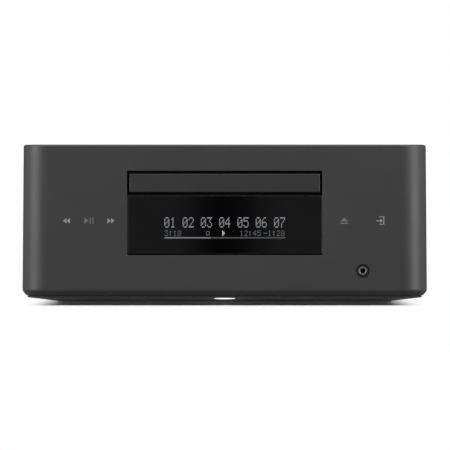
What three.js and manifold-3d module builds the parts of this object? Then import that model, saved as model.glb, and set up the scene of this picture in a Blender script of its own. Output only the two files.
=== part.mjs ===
// Compact hi-fi disc receiver: a wrap-round cabinet with a disc tray over a display window.
// Units are millimetres, with +X to the right, +Y to the back and +Z up.
// The origin is on the table, under the middle of the overall box; the front faces -Y.
import * as THREE from "three";
import { mergeVertices } from "three/addons/utils/BufferGeometryUtils.js";
import Module from "manifold-3d";

const wasm = await Module();
wasm.setup();

// Clearances that all the pieces share
const clearance = {
  seat: 0.3, // between two pieces that are fixed together
  running: 0.4, // between two pieces that move on each other
  sideSlack: 0.1, // more, at each side of the tray
  overrun: 4, // how far a cutting shape runs past what it cuts
  bite: 0.5, // how deep a boss or rib is rooted in its wall
};

// Driving sizes of the cabinet
const cabinet = {
  width: 280,
  height: 111,
  depth: 303, // overall, over the speaker terminals
  cornerRadius: 18,
  rearEdgeRadius: 1.2,
  wall: 3,
  draft: 0.8, // how far each side leans in from bottom to top
  bottomFillet: 4.4,
  topChamfer: 1,
  lipThickness: 2.2, // inward lip behind the bottom fillet
  lipHeight: 6,
  ledgeWidth: 3, // carries the top cover
  ledgeHeight: 2,
};
const foot = { stand: 1.6, radius: 14, pocketDepth: 0.9, fromSide: 48, fromFront: 50, fromRear: 46 };
const pan = {
  wall: 2.2,
  skirtRise: 4.1, // the sloping skirt between the flat bottom and the cabinet lip
  skirtReach: 20,
  rimHeight: 7.5,
  flatCornerRadius: 4,
  bossRadius: 3.2,
  boardHeight: 10, // underside of the boards above the pan floor
};
const vents = { count: 6, fromFront: 78, pitch: 9, width: 3, length: 36 };
const topPlate = { thickness: 2.8, recess: 0.3, frontRadius: 14.5 };
const topCover = { thickness: 2, ribHeight: 3, ribWidth: 1.6, ribCount: 5 };
const rearPanel = { thickness: 1.2 };

// Front: window opening, tray door, display, headphone socket and indicator
const opening = { width: 134.6, height: 58.3, fromTop: 17.6 };
const display = {
  glassHeight: 40.9,
  glassThickness: 3.1,
  recess: 0.2,
  bezelThickness: 2,
  viewWidth: 96,
  viewHeight: 26,
  viewBottomShare: 0.16, // of the glass height
  moduleThickness: 6.5,
  moduleMargin: 1.5,
};
const door = { sideGap: 1.5, height: 12.8, topGap: 1.9, thickness: 3.1, edgeRadius: 0.6 };
const phones = {
  placeShare: 0.3838, // of the way from the window opening to the side of the cabinet
  height: 23.8,
  holeRadius: 4.85,
  barrelRadius: 3.15,
  boreRadius: 1.8,
  boreDepth: 14,
  collarDrop: 1.2,
  barrelDrop: 0.2,
  bodyWidth: 11,
  bodyDepth: 12,
};
const lens = { width: 14.5, length: 10, fromSkirtTop: 0.8, thickness: 3.4, proud: 0.25, dishMargin: 2.2, dishDepth: 0.5 };
const frontBoard = { thickness: 1.6, bottom: 17, fromTop: 13, fromSide: 20, openingMargin: 1.2 };

// Disc tray and its loading mechanism
const tray = {
  sideInset: 2.3, // from the end of the door to the side of the tray
  frontMargin: 8, // from the tray front to the disc well
  rearLength: 42, // behind the disc well
  discRadius: 60,
  wellClearance: 0.75,
  smallDiscRadius: 40,
  floor: 1.2,
  wellDepth: 3.6,
  smallWellDepth: 1.4,
  slotWidth: 48,
  hubHoleRadius: 19,
  railWidth: 4.5,
  railHeight: 2.9,
  notchRadius: 11,
  notchDepth: 1.8,
  travel: 140,
};
const rackSize = { backWidth: 3.2, endMargin: 4 };
const gearSize = {
  rackModule: 1,
  rackPinionTeeth: 14,
  trainModule: 0.8,
  wheelTeeth: 24,
  pinionTeeth: 12,
  addendumShare: 0.9, // of the module, from the pitch line to the tip
  dedendumShare: 1.25, // from the pitch line to the root
  halfToothShare: 0.66, // half a tooth's thickness on the pitch line, with backlash
  pressureAngle: 20, // degrees
  faceWidth: 2.8,
  axleRadius: 1.6,
  neckRadius: 4.6,
  rackPinionFace: 2.6,
  bossRadius: 2.4,
};
const belt = { bigRadius: 10.2, smallRadius: 4, thickness: 0.8, height: 1.2, flangeRise: 0.9, pulleyHeight: 2.6 };
const motor = { radius: 10.5, length: 15, shaftRadius: 1, fromCentre: 30 };
const chassis = {
  floorThickness: 2,
  wall: 2.5,
  flange: 3.5,
  ledgeWidth: 5.6,
  ledgeThickness: 2,
  sideHeight: 11.5, // of the side walls above the tray ledge
  bridgePostHeight: 4.4, // of the bridge posts above the side walls
  bridgePostLength: 24,
  rearLength: 24, // behind the tray
  openingHalfWidth: 36,
  pivotLug: 3,
  pivotLugLength: 10,
  tabLength: 9,
  tabReach: 2.4,
  rearWallRise: 6, // above the tray ledge
  studRadius: 0.9,
};
const traverse = {
  halfWidth: 31.5,
  thickness: 2.5,
  frontReach: 27, // in front of the disc centre
  rearReach: 100, // behind it, to the rear edge
  pivotFromRear: 3.4,
  trunnionRadius: 2,
  pinRadius: 1.25,
  pinSpacing: 30,
  windowHalfWidth: 17,
  windowFront: 14, // behind the disc centre
  windowRear: 76,
  lugThickness: 4,
  lugWidth: 8,
};
const spindle = {
  motorRadius: 11,
  motorHeight: 8,
  shaftRadius: 1.5,
  plateRadius: 15,
  plateThickness: 2.5,
  hubRadius: 7.3,
  hubHeight: 2.4,
  lift: 1.4, // of the disc above the well floor, in play
};
const pickup = {
  width: 38,
  length: 30,
  lensRadius: 4,
  lensFromDisc: 1.6,
  innerRadius: 24, // lens to disc centre at the start of the disc
  blockWidth: 28,
  blockLength: 20,
  blockDrop: 5.5,
  travel: 36,
  rodRadius: 1.5,
  rodSpacing: 30,
  rodHeight: 2.9, // of the rod centres above the traverse
  armWidth: 9,
  armThickness: 2.4,
  nutWidth: 4.8,
  underPlate: 1, // its body passes this far under the turntable
  bodyRise: 0.5, // above the traverse
  bodyFront: 10, // behind the disc centre, at the start of the disc
};
const screwDrive = { radius: 1.5, fromRod: 12, motorRadius: 5.4, motorLength: 9.6 };
const cam = {
  thickness: 2,
  width: 56,
  travel: 14,
  drop: 6.74, // of the traverse pins
  flangeReach: 4,
  flangeThickness: 1.5,
  slotMargin: 2.6,
};
const clamp = {
  bridgeWidth: 38,
  bridgeThickness: 2,
  holeRadius: 13.4,
  puckFlangeRadius: 16,
  puckFlangeThickness: 1.4,
  puckRadius: 12.8,
  recessRadius: 8.2,
  recessDepth: 2.6,
  drop: 7.4, // of the puck's foot below the bridge
  lift: 1.5,
};
const chassisTabShares = [0.02, 0.4, 0.9]; // of the way from the frame front to the tray rear
const bracket = { thickness: 1.5, flange: 10, fromFront: 54, length: 120 };

// Electronics
const board = { thickness: 1.6, sideMargin: 2.5, rearMargin: 14 };
const mainBoard = { length: 190 };
const powerBoard = { length: 165 };
const amplifierBoard = { length: 120 };
const transformer = { width: 24, length: 32, height: 26, limb: 8, coilProud: 3, fromRear: 108 };
const capacitor = { radius: 10, height: 34, rimHeight: 2, grooveDepth: 0.8 };
const heatSink = { sideMargin: 1.95, length: 56, height: 36, base: 5, fins: 8, finThickness: 1.8, fromRear: 42 };
// Components on each board: left, front, width, length and height, as shares of the board and of the
// room above it
const mainComponentShares = [
  [0.3, 0.3, 0.2, 0.12, 0.05],
  [0.62, 0.28, 0.12, 0.1, 0.04],
  [0.12, 0.52, 0.16, 0.07, 0.05],
  [0.1, 0.12, 0.26, 0.05, 0.16],
  [0.6, 0.1, 0.26, 0.05, 0.16],
  [0.42, 0.62, 0.3, 0.16, 0.07],
  [0.14, 0.8, 0.18, 0.1, 0.2],
  [0.78, 0.55, 0.08, 0.12, 0.22],
];
const powerComponentShares = [
  [0.12, 0.08, 0.3, 0.1, 0.34],
  [0.55, 0.1, 0.3, 0.06, 0.24],
  [0.1, 0.66, 0.28, 0.08, 0.3],
  [0.56, 0.68, 0.32, 0.05, 0.4],
  [0.3, 0.82, 0.4, 0.06, 0.18],
];
const amplifierComponentShares = [
  [0.12, 0.04, 0.24, 0.1, 0.3],
  [0.6, 0.04, 0.24, 0.1, 0.3],
  [0.3, 0.76, 0.4, 0.08, 0.14],
  [0.12, 0.88, 0.24, 0.06, 0.2],
];
const fan = {
  size: 40,
  depth: 10,
  boreRadius: 18.6,
  hubRadius: 8,
  blades: 7,
  bladeThickness: 1,
  bladeAngle: 38, // degrees
  bladeLengthShare: 0.95, // of the rotor's depth
  strutWidth: 2.2,
  strutThickness: 1.4,
  pinRadius: 1.2,
  slotHeight: 2.4,
  slotPitch: 4.4,
  cornerRadius: 3,
};

// Rear sockets, with their places as shares of the rear panel's half width and height
const terminals = {
  count: 4,
  pitch: 19,
  flangeHeight: 24,
  flangeThickness: 2,
  bodyInset: 2.5,
  bodyDepth: 10,
  collarRadius: 6.2,
  collarHeight: 1,
  studRadius: 2.6,
  boreRadius: 2,
  capRadius: 6.4,
  capLength: 12,
  capRecess: 0.6,
  knurlDepth: 0.5,
  knurls: 12,
  capChamfer: 1,
};
const rca = {
  pitch: 15,
  rowPitch: 16,
  flangeMargin: 8,
  flangeThickness: 1.2,
  bodyInset: 2,
  bodyDepth: 12,
  barrelRadius: 4.1,
  barrelLength: 8.5,
  boreRadius: 1.6,
  boreDepth: 7,
  collarRadius: 5.4,
  collarHeight: 1.4,
};
const optical = {
  flangeGrow: 1.6,
  bodyHeight: 15,
  sideMargin: 3.4,
  proud: 2.4,
  depth: 12,
  portSize: 8.4,
  portDepth: 10,
  flapThickness: 1,
  flapInset: 0.8,
  pinRadius: 0.7,
};
const lan = {
  width: 16.4,
  height: 14,
  proud: 1.2,
  depth: 16,
  portWidth: 12,
  portHeight: 7.6,
  portDepth: 13,
  latchWidth: 6,
  latchHeight: 2.4,
  portDrop: 0.8,
};
const usb = {
  width: 14.6,
  height: 7.4,
  proud: 1,
  depth: 14,
  wall: 0.8,
  tongueThickness: 1.9,
  tongueWidth: 11.4,
  portDepth: 11,
};
const inlet = {
  width: 27,
  height: 19,
  flangeThickness: 1.8,
  bodyInset: 2.4,
  bodyDepth: 16,
  lobeRadius: 4.3,
  lobeSpacing: 8.6,
  neckHeight: 5.6,
  portDepth: 11,
  pinRadius: 1.15,
  pinLength: 9,
};
const fm = { hexRadius: 6.6, hexHeight: 2, barrelRadius: 4.6, length: 9, boreRadius: 1, boreDepth: 8, stubRadius: 4.2 };
const antenna = {
  baseRadius: 5.6,
  baseHeight: 3,
  stubRadius: 3,
  stubLength: 5,
  cheekThickness: 1.8,
  cheekGap: 4.8,
  cheekHalfHeight: 3.6,
  pinFromBase: 5.6,
  pinRadius: 1.2,
  eyeRadius: 3.4,
  rodStart: 5.6,
  rodLength: 80,
  rodWidth: 8.6,
  rodThickness: 6,
  tipShare: 0.74, // of the rod's width that is left at the tip
};
const placeShares = {
  terminals: { xShare: -0.3, zShare: 0.27 },
  inlet: { xShare: -0.76, zShare: 0.2 },
  fan: { xShare: -0.7, zShare: 0.69 },
  lan: { xShare: 0.13, zShare: 0.24 },
  usb: { xShare: 0.13, zShare: 0.47 },
  optical: { xShare: 0.37, zShare: 0.24 },
  rca: { xShare: 0.7, zShare: 0.33 },
  fm: { xShare: 0.74, zShare: 0.68 },
  antenna: { xShare: 0.93, zShare: 0.87 },
};

// How finely round shapes are divided
const steps = { corner: 6, edge: 3, rear: 1, curve: 2, boss: 6, small: 8, socket: 10, foot: 14, disc: 26 };

// Heights and planes that follow from the sizes
const halfWidth = cabinet.width / 2;
const terminalBase = clearance.seat + terminals.flangeThickness + terminals.collarHeight;
const terminalReach = terminalBase + clearance.running + terminals.capLength;
const frontPlane = -cabinet.depth / 2;
const rearPlane = cabinet.depth / 2 - terminalReach;
const frontInner = frontPlane + cabinet.wall;
const rearInner = rearPlane - rearPanel.thickness;
const panTop = foot.stand + pan.skirtRise;
const cabinetBottom = panTop + clearance.seat;
const panFloor = foot.stand + pan.wall;
const plateTop = cabinet.height - topPlate.recess;
const plateBottom = plateTop - topPlate.thickness;
const coverTop = plateBottom - clearance.seat;
const coverBottom = coverTop - topCover.thickness;
const ledgeTop = coverBottom - clearance.seat;
const lipInset = cabinet.bottomFillet + cabinet.lipThickness;
const openingTop = cabinet.height - opening.fromTop;
const openingBottom = openingTop - opening.height;
const phonesX = opening.width / 2 + (halfWidth - opening.width / 2) * phones.placeShare;
const doorWidth = opening.width - door.sideGap * 2;
const doorTop = openingTop - door.topGap;
const doorBottom = doorTop - door.height;
const glassFront = frontPlane + display.recess;
const bezelFront = glassFront + display.glassThickness + clearance.seat;
const bezelRear = bezelFront + display.bezelThickness;

// The tray stands on its rails; the deck is the plate between the wells and the rails
const trayFront = glassFront + door.thickness + clearance.seat;
const discY = trayFront + tray.frontMargin + tray.discRadius + tray.wellClearance;
const trayRear = discY + tray.discRadius + tray.rearLength;
const railBottom = doorBottom + clearance.running * 2;
const deckBottom = railBottom + tray.railHeight;
const smallWellFloor = deckBottom + tray.floor;
const wellFloor = smallWellFloor + tray.smallWellDepth;
const trayTop = wellFloor + tray.wellDepth;
const trayHalf = doorWidth / 2 - tray.sideInset;

// The chassis carries the tray on two ledges and stands on two brackets
const ledgeZ = railBottom - clearance.running;
const discSeat = wellFloor + spindle.lift;
const gearLayer = clearance.running;
const chassisTop = ledgeZ - gearLayer * 3 - gearSize.faceWidth - belt.pulleyHeight - clearance.running;
const chassisBottom = chassisTop - chassis.floorThickness;
const chassisInner = trayHalf + clearance.running + clearance.sideSlack;
const chassisOuter = chassisInner + chassis.wall;
const chassisHalf = chassisOuter + chassis.flange;
const chassisFront = bezelRear + clearance.seat;
const chassisRear = trayRear + chassis.rearLength;
const chassisSideTop = ledgeZ + chassis.sideHeight;
const bridgeSeat = chassisSideTop + chassis.bridgePostHeight;
const bridgeBottom = bridgeSeat + clearance.seat;
const bridgeTop = bridgeBottom + clamp.bridgeThickness;

// A solid from a closed three.js geometry, ready to be joined and cut
function solid(geometry) {
  const loose = geometry.index ? geometry.toNonIndexed() : geometry;
  const bare = new THREE.BufferGeometry();
  bare.setAttribute("position", loose.getAttribute("position"));
  const merged = mergeVertices(bare);
  return new wasm.Manifold(
    new wasm.Mesh({
      numProp: 3,
      vertProperties: merged.attributes.position.array,
      triVerts: new Uint32Array(merged.index.array),
    }),
  );
}

function join(...solids) {
  return solids.flat().reduce((whole, piece) => whole.add(piece));
}

function cut(whole, ...tools) {
  return tools.flat().reduce((left, tool) => left.subtract(tool), whole);
}

// Box between two corners, each a list of x, y and z
function box([x0, y0, z0], [x1, y1, z1]) {
  const geometry = new THREE.BoxGeometry(x1 - x0, y1 - y0, z1 - z0);
  geometry.translate((x0 + x1) / 2, (y0 + y1) / 2, (z0 + z1) / 2);
  return solid(geometry);
}

// Prisms of a flat outline, along each axis
function prismZ(shape, z0, z1, curveSegments = steps.curve) {
  const geometry = new THREE.ExtrudeGeometry(shape, { depth: z1 - z0, bevelEnabled: false, curveSegments });
  geometry.translate(0, 0, z0);
  return solid(geometry);
}

// The outline's second coordinate is z
function prismY(shape, y0, y1, curveSegments = steps.curve) {
  const geometry = new THREE.ExtrudeGeometry(shape, { depth: y1 - y0, bevelEnabled: false, curveSegments });
  geometry.rotateX(Math.PI / 2);
  geometry.translate(0, y1, 0);
  return solid(geometry);
}

// The outline's coordinates are y and z
function prismX(shape, x0, x1, curveSegments = steps.curve) {
  const geometry = new THREE.ExtrudeGeometry(shape, { depth: x1 - x0, bevelEnabled: false, curveSegments });
  const turn = new THREE.Matrix4().set(0, 0, 1, x0, 1, 0, 0, 0, 0, 1, 0, 0, 0, 0, 0, 1);
  geometry.applyMatrix4(turn);
  return solid(geometry);
}

// Turned pieces, from profiles of radius and height that run upwards and start and end on the axis
function turned(profile, segments) {
  return new THREE.LatheGeometry(profile.map(([r, h]) => new THREE.Vector2(r, h)), segments);
}

function turnedZ(profile, x, y, segments = steps.small) {
  const geometry = turned(profile, segments);
  geometry.rotateX(Math.PI / 2);
  geometry.translate(x, y, 0);
  return solid(geometry);
}

function turnedY(profile, x, z, segments = steps.small) {
  const geometry = turned(profile, segments);
  geometry.translate(x, 0, z);
  return solid(geometry);
}

function rodZ(radius, x, y, z0, z1, segments) {
  return turnedZ([[0, z0], [radius, z0], [radius, z1], [0, z1]], x, y, segments);
}

function rodY(radius, x, z, y0, y1, segments) {
  return turnedY([[0, y0], [radius, y0], [radius, y1], [0, y1]], x, z, segments);
}

function rodX(radius, y, z, x0, x1, segments = steps.small) {
  const geometry = new THREE.CylinderGeometry(radius, radius, x1 - x0, segments);
  geometry.rotateZ(Math.PI / 2);
  geometry.translate((x0 + x1) / 2, y, z);
  return solid(geometry);
}

// Rectangle with round corners, centred on a point
function roundedRect(width, height, radius, u = 0, v = 0) {
  const [a, b] = [width / 2, height / 2];
  const shape = new THREE.Shape();
  shape.moveTo(u - a + radius, v - b);
  shape.lineTo(u + a - radius, v - b);
  shape.absarc(u + a - radius, v - b + radius, radius, -Math.PI / 2, 0, false);
  shape.lineTo(u + a, v + b - radius);
  shape.absarc(u + a - radius, v + b - radius, radius, 0, Math.PI / 2, false);
  shape.lineTo(u - a + radius, v + b);
  shape.absarc(u - a + radius, v + b - radius, radius, Math.PI / 2, Math.PI, false);
  shape.lineTo(u - a, v - b + radius);
  shape.absarc(u - a + radius, v - b + radius, radius, Math.PI, (3 * Math.PI) / 2, false);
  return shape;
}

function polygon(points) {
  return new THREE.Shape(points.map(([u, v]) => new THREE.Vector2(u, v)));
}

// Points of a quarter arc
function quarter(cx, cy, radius, from, count) {
  return Array.from({ length: count + 1 }, (_, i) => {
    const a = from + (i * Math.PI) / 2 / count;
    return [cx + radius * Math.cos(a), cy + radius * Math.sin(a)];
  });
}

// Plan outline of the housing, anticlockwise, drawn in from the sides and front, and from the rear;
// the lean draws in the sides only
function planOutline(inset, rearInset, frontRadius, rearRadius, lean = 0) {
  const x = halfWidth - inset - lean;
  const [y0, y1] = [frontPlane + inset, rearPlane - rearInset];
  const [f, r] = [frontRadius, rearRadius];
  return [
    ...quarter(-x + f, y0 + f, f, Math.PI, steps.corner),
    ...quarter(x - f, y0 + f, f, -Math.PI / 2, steps.corner),
    ...quarter(x - r, y1 - r, r, 0, steps.rear),
    ...quarter(-x + r, y1 - r, r, Math.PI / 2, steps.rear),
  ];
}

// Closed skin through rings of equal count, from the lowest up
function loft(rings) {
  const count = rings[0].points.length;
  const position = rings.flatMap(({ z, points }) => points.flatMap(([x, y]) => [x, y, z]));
  const index = [];
  for (let level = 0; level < rings.length - 1; level++) {
    for (let i = 0; i < count; i++) {
      const [a, b] = [level * count + i, level * count + ((i + 1) % count)];
      index.push(a, b, b + count, a, b + count, a + count);
    }
  }
  const cap = (ring) => THREE.ShapeUtils.triangulateShape(ring.points.map(([x, y]) => new THREE.Vector2(x, y)), []);
  const last = (rings.length - 1) * count;
  cap(rings[0]).forEach(([a, b, c]) => index.push(a, c, b));
  cap(rings[rings.length - 1]).forEach(([a, b, c]) => index.push(last + a, last + b, last + c));
  const geometry = new THREE.BufferGeometry();
  geometry.setAttribute("position", new THREE.Float32BufferAttribute(position, 3));
  geometry.setIndex(index);
  return solid(geometry);
}

// How far the sides have leaned in at a height
function leanAt(z) {
  const start = cabinetBottom + cabinet.bottomFillet;
  return (cabinet.draft * Math.max(z - start, 0)) / (cabinet.height - start);
}

const cornerFor = (inset) => Math.max(cabinet.cornerRadius - inset, pan.flatCornerRadius);

// Group that holds every sub-part
const receiver = new THREE.Group();

function finish(color, roughness, metalness = 0) {
  return new THREE.MeshStandardMaterial({ color, roughness, metalness });
}

const finishes = {
  cabinet: finish(0x3a3a3b, 0.55),
  gloss: finish(0x060607, 0.08),
  black: finish(0x161617, 0.5),
  door: finish(0x333334, 0.5),
  steel: finish(0x9a9c9e, 0.35, 0.9),
  panel: finish(0x202122, 0.5, 0.3),
  rubber: finish(0x1b1b1b, 0.9),
  board: finish(0x1f5a35, 0.6),
  white: finish(0xe8e6df, 0.5),
  glow: finish(0xf4f6f8, 0.2),
  brass: finish(0xb58b3c, 0.35, 0.9),
  grey: finish(0x6f7173, 0.5),
};

function addPart(name, body, material) {
  const mesh = body.getMesh();
  const geometry = new THREE.BufferGeometry();
  geometry.setAttribute("position", new THREE.BufferAttribute(mesh.vertProperties, 3));
  geometry.setIndex(new THREE.BufferAttribute(mesh.triVerts, 1));
  geometry.computeVertexNormals();
  const part = new THREE.Mesh(geometry, material);
  part.name = name;
  receiver.add(part);
  return body;
}

// Wrap-round cabinet: front and both sides in one moulding, open at the top, bottom and rear
function makeCabinet() {
  const ring = (z, inset) => ({
    z,
    points: planOutline(inset, 0, cornerFor(inset), cabinet.rearEdgeRadius, leanAt(z)),
  });
  const rings = [];
  for (let i = 0; i <= steps.edge; i++) {
    const a = (i / steps.edge) * (Math.PI / 2);
    const inset = cabinet.bottomFillet * (1 - Math.sin(a));
    rings.push(ring(cabinetBottom + cabinet.bottomFillet * (1 - Math.cos(a)), inset));
  }
  const shoulder = cabinet.height - cabinet.topChamfer;
  const bevel = cabinet.topChamfer / 2;
  rings.push(ring(shoulder, 0));
  rings.push(ring(cabinet.height - bevel / 2, bevel / 2));
  rings.push(ring(cabinet.height, cabinet.topChamfer));
  const inner = (z, inset) => ({
    z,
    points: planOutline(inset, -clearance.overrun, cornerFor(inset), cabinet.rearEdgeRadius, leanAt(z)),
  });
  const lipTop = cabinetBottom + cabinet.lipHeight;
  const ledgeInset = cabinet.wall + cabinet.ledgeWidth;
  const hollow = loft([
    inner(cabinetBottom - clearance.overrun, lipInset),
    inner(lipTop, lipInset),
    inner(lipTop, cabinet.wall),
    inner(ledgeTop - cabinet.ledgeHeight, cabinet.wall),
    inner(ledgeTop - cabinet.ledgeHeight, ledgeInset),
    inner(ledgeTop, ledgeInset),
    inner(ledgeTop, cabinet.wall),
    inner(cabinet.height + clearance.overrun, cabinet.wall),
  ]);
  const rebateHalf = halfWidth - cabinet.wall - leanAt(cabinet.height);
  const rebate = box(
    [-rebateHalf, rearInner - clearance.seat, cabinetBottom - clearance.overrun],
    [rebateHalf, rearPlane + clearance.overrun, cabinet.height + clearance.overrun],
  );
  const windowCut = box(
    [-opening.width / 2, frontPlane - clearance.overrun, openingBottom],
    [opening.width / 2, frontInner + clearance.overrun, openingTop],
  );
  const phonesCut = rodY(
    phones.holeRadius,
    phonesX,
    phones.height,
    frontPlane - clearance.overrun,
    frontInner + clearance.overrun,
    steps.foot,
  );
  addPart("cabinet_wrap", cut(loft(rings), hollow, rebate, windowCut, phonesCut), finishes.cabinet);
}

// Acrylic top plate in the rim of the cabinet, and the cover that carries it
function makeTop() {
  const inset = cabinet.wall + clearance.seat;
  const lean = leanAt(cabinet.height);
  const outline = planOutline(inset, 0, topPlate.frontRadius, cabinet.rearEdgeRadius, lean);
  const plate = loft([
    { z: plateBottom, points: outline },
    { z: plateTop, points: outline },
  ]);
  addPart("top_plate", plate, finishes.gloss);
  const sheet = loft([
    { z: coverBottom, points: outline },
    { z: coverTop, points: outline },
  ]);
  const ribInset = inset + lean + cabinet.ledgeWidth + clearance.seat;
  const ribs = [];
  const [y0, y1] = [frontPlane + ribInset + cabinet.cornerRadius, rearInner - cabinet.cornerRadius];
  for (let i = 0; i < topCover.ribCount; i++) {
    const y = y0 + ((y1 - y0) * i) / (topCover.ribCount - 1);
    ribs.push(
      box(
        [-halfWidth + ribInset, y - topCover.ribWidth / 2, coverBottom - topCover.ribHeight],
        [halfWidth - ribInset, y + topCover.ribWidth / 2, coverBottom + clearance.bite],
      ),
    );
  }
  addPart("top_cover", join(sheet, ribs), finishes.black);
}

// Places of the screw bosses that carry the two boards and the brackets
const bracketOuter = chassisHalf;
const mainHalf = bracketOuter - bracket.thickness - bracket.flange - board.sideMargin;
const boardZ = panFloor + pan.boardHeight;
const boardRear = rearInner - board.rearMargin;
const powerInner = bracketOuter + board.sideMargin;
const powerOuter = halfWidth - lipInset - pan.wall - clearance.seat - board.sideMargin;

function boardBosses(x0, x1, y0, y1) {
  const inset = pan.bossRadius * 1.5;
  const places = [
    [x0 + inset, y0 + inset],
    [x1 - inset, y0 + inset],
    [x0 + inset, y1 - inset],
    [x1 - inset, y1 - inset],
  ];
  const floor = panFloor - clearance.bite;
  return places.map(([x, y]) => rodZ(pan.bossRadius, x, y, floor, boardZ - clearance.seat, steps.boss));
}

const footPlaces = [
  ["foot_front_left", -1, frontPlane + foot.fromFront],
  ["foot_front_right", 1, frontPlane + foot.fromFront],
  ["foot_rear_left", -1, rearPlane - foot.fromRear],
  ["foot_rear_right", 1, rearPlane - foot.fromRear],
];

// Indicator lens in the slope of the skirt, under the middle of the front
const skirtSlope = pan.skirtRise / pan.skirtReach;
const skirtFront = frontPlane + cabinet.bottomFillet;
const lensY = skirtFront + lens.fromSkirtTop + lens.length / 2;
const skirtAt = (y) => panTop - (y - skirtFront) * skirtSlope;

function lensOutline(margin) {
  const shape = new THREE.Shape();
  shape.absellipse(0, lensY, lens.width / 2 + margin, lens.length / 2 + margin, 0, Math.PI * 2, false, 0);
  return shape;
}

// Slab that follows the skirt, from one depth below its surface to another
function skirtSlab(low, high) {
  const [y0, y1] = [lensY - lens.length, lensY + lens.length];
  const outline = polygon([
    [y0, skirtAt(y0) + low],
    [y1, skirtAt(y1) + low],
    [y1, skirtAt(y1) + high],
    [y0, skirtAt(y0) + high],
  ]);
  return prismX(outline, -lens.width, lens.width);
}

// Bottom pan with its sloping skirt, board bosses, foot pockets and air slots
function makePan() {
  const outer = (z, inset, rearInset) => ({
    z,
    points: planOutline(inset, rearInset, cornerFor(inset), pan.flatCornerRadius),
  });
  const rimInset = lipInset + clearance.seat;
  const rimRear = rearPanel.thickness + clearance.seat;
  const rimTop = panTop + pan.rimHeight;
  const flatInset = cabinet.bottomFillet + pan.skirtReach;
  const skin = loft([
    outer(foot.stand, flatInset, pan.skirtReach),
    outer(panTop, cabinet.bottomFillet, 0),
    outer(panTop, rimInset, rimRear),
    outer(rimTop, rimInset, rimRear),
  ]);
  const innerInset = rimInset + pan.wall;
  const innerRise = (flatInset - innerInset) * skirtSlope;
  const innerRear = rimRear + pan.wall;
  const hollow = loft([
    outer(panFloor, flatInset, pan.skirtReach + innerRear),
    outer(panFloor + innerRise, innerInset, innerRear),
    outer(rimTop + clearance.overrun, innerInset, innerRear),
  ]);
  const bosses = [
    ...boardBosses(-mainHalf, mainHalf, boardRear - mainBoard.length, boardRear),
    ...boardBosses(-powerOuter, -powerInner, boardRear - powerBoard.length, boardRear),
    ...boardBosses(powerInner, powerOuter, boardRear - amplifierBoard.length, boardRear),
  ];
  const pocketTop = foot.stand + foot.pocketDepth;
  const pockets = footPlaces.map(([, side, y]) => {
    const x = side * (halfWidth - foot.fromSide);
    return rodZ(foot.radius + clearance.seat, x, y, foot.stand - clearance.overrun, pocketTop, steps.foot);
  });
  const slots = [];
  for (const side of [-1, 1]) {
    for (let i = 0; i < vents.count; i++) {
      const y = frontPlane + vents.fromFront + i * vents.pitch;
      const x = side * (halfWidth - foot.fromSide);
      slots.push(
        box(
          [x - vents.length / 2, y - vents.width / 2, foot.stand - clearance.overrun],
          [x + vents.length / 2, y + vents.width / 2, panFloor + clearance.overrun],
        ),
      );
    }
  }
  const lensHole = prismZ(lensOutline(clearance.seat), 0, panTop + pan.rimHeight, steps.foot);
  const dishPrism = prismZ(lensOutline(lens.dishMargin), 0, panTop, steps.foot);
  const dish = dishPrism.intersect(skirtSlab(-lens.thickness, lens.dishDepth));
  const body = cut(join(skin.subtract(hollow), bosses), pockets, slots, lensHole, dish);
  addPart("base_pan", body, finishes.black);
  const plug = prismZ(lensOutline(0), 0, panTop + pan.rimHeight, steps.foot);
  const underLip = box(
    [-lens.width, frontPlane, panTop],
    [lens.width, frontPlane + lipInset + clearance.seat, panTop + pan.rimHeight],
  );
  const light = plug.intersect(skirtSlab(-lens.proud, lens.thickness)).subtract(underLip);
  addPart("indicator_lens", light, finishes.glow);
}

function makeFeet() {
  const top = foot.stand + foot.pocketDepth - clearance.seat;
  for (const [name, side, y] of footPlaces) {
    const x = side * (halfWidth - foot.fromSide);
    const edge = foot.stand / 4;
    const profile = [
      [0, 0],
      [foot.radius - edge, 0],
      [foot.radius, edge],
      [foot.radius, top],
      [0, top],
    ];
    addPart(name, turnedZ(profile, x, y, steps.foot), finishes.rubber);
  }
}

// Display glass, the bezel behind it that frames the tray slot, and the display module
function makeWindow() {
  const glassHalf = opening.width / 2 - clearance.seat;
  const glassBottom = openingBottom + clearance.seat;
  const glassTop = glassBottom + display.glassHeight;
  const glass = box([-glassHalf, glassFront, glassBottom], [glassHalf, glassFront + display.glassThickness, glassTop]);
  addPart("display_window", glass, finishes.gloss);
  const viewBottom = glassBottom + display.glassHeight * display.viewBottomShare;
  const viewTop = viewBottom + display.viewHeight;
  const frame = box(
    [-glassHalf, bezelFront, glassBottom],
    [glassHalf, bezelRear, openingTop - clearance.seat],
  );
  const viewCut = box(
    [-display.viewWidth / 2, bezelFront - clearance.overrun, viewBottom],
    [display.viewWidth / 2, bezelRear + clearance.overrun, viewTop],
  );
  const slotHalf = trayHalf + clearance.running;
  const slotCut = box(
    [-slotHalf, bezelFront - clearance.overrun, railBottom - clearance.running],
    [slotHalf, bezelRear + clearance.overrun, trayTop + clearance.running],
  );
  addPart("window_bezel", cut(frame, viewCut, slotCut), finishes.black);
  const margin = display.moduleMargin;
  const moduleFront = bezelRear + clearance.seat;
  const can = box(
    [-display.viewWidth / 2 - margin, moduleFront, viewBottom - margin],
    [display.viewWidth / 2 + margin, moduleFront + display.moduleThickness, viewTop + margin],
  );
  const screen = box(
    [-display.viewWidth / 2 + clearance.seat, bezelFront + clearance.seat, viewBottom + clearance.seat],
    [display.viewWidth / 2 - clearance.seat, moduleFront + clearance.bite, viewTop - clearance.seat],
  );
  addPart("display_module", join(can, screen), finishes.grey);
}

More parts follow.
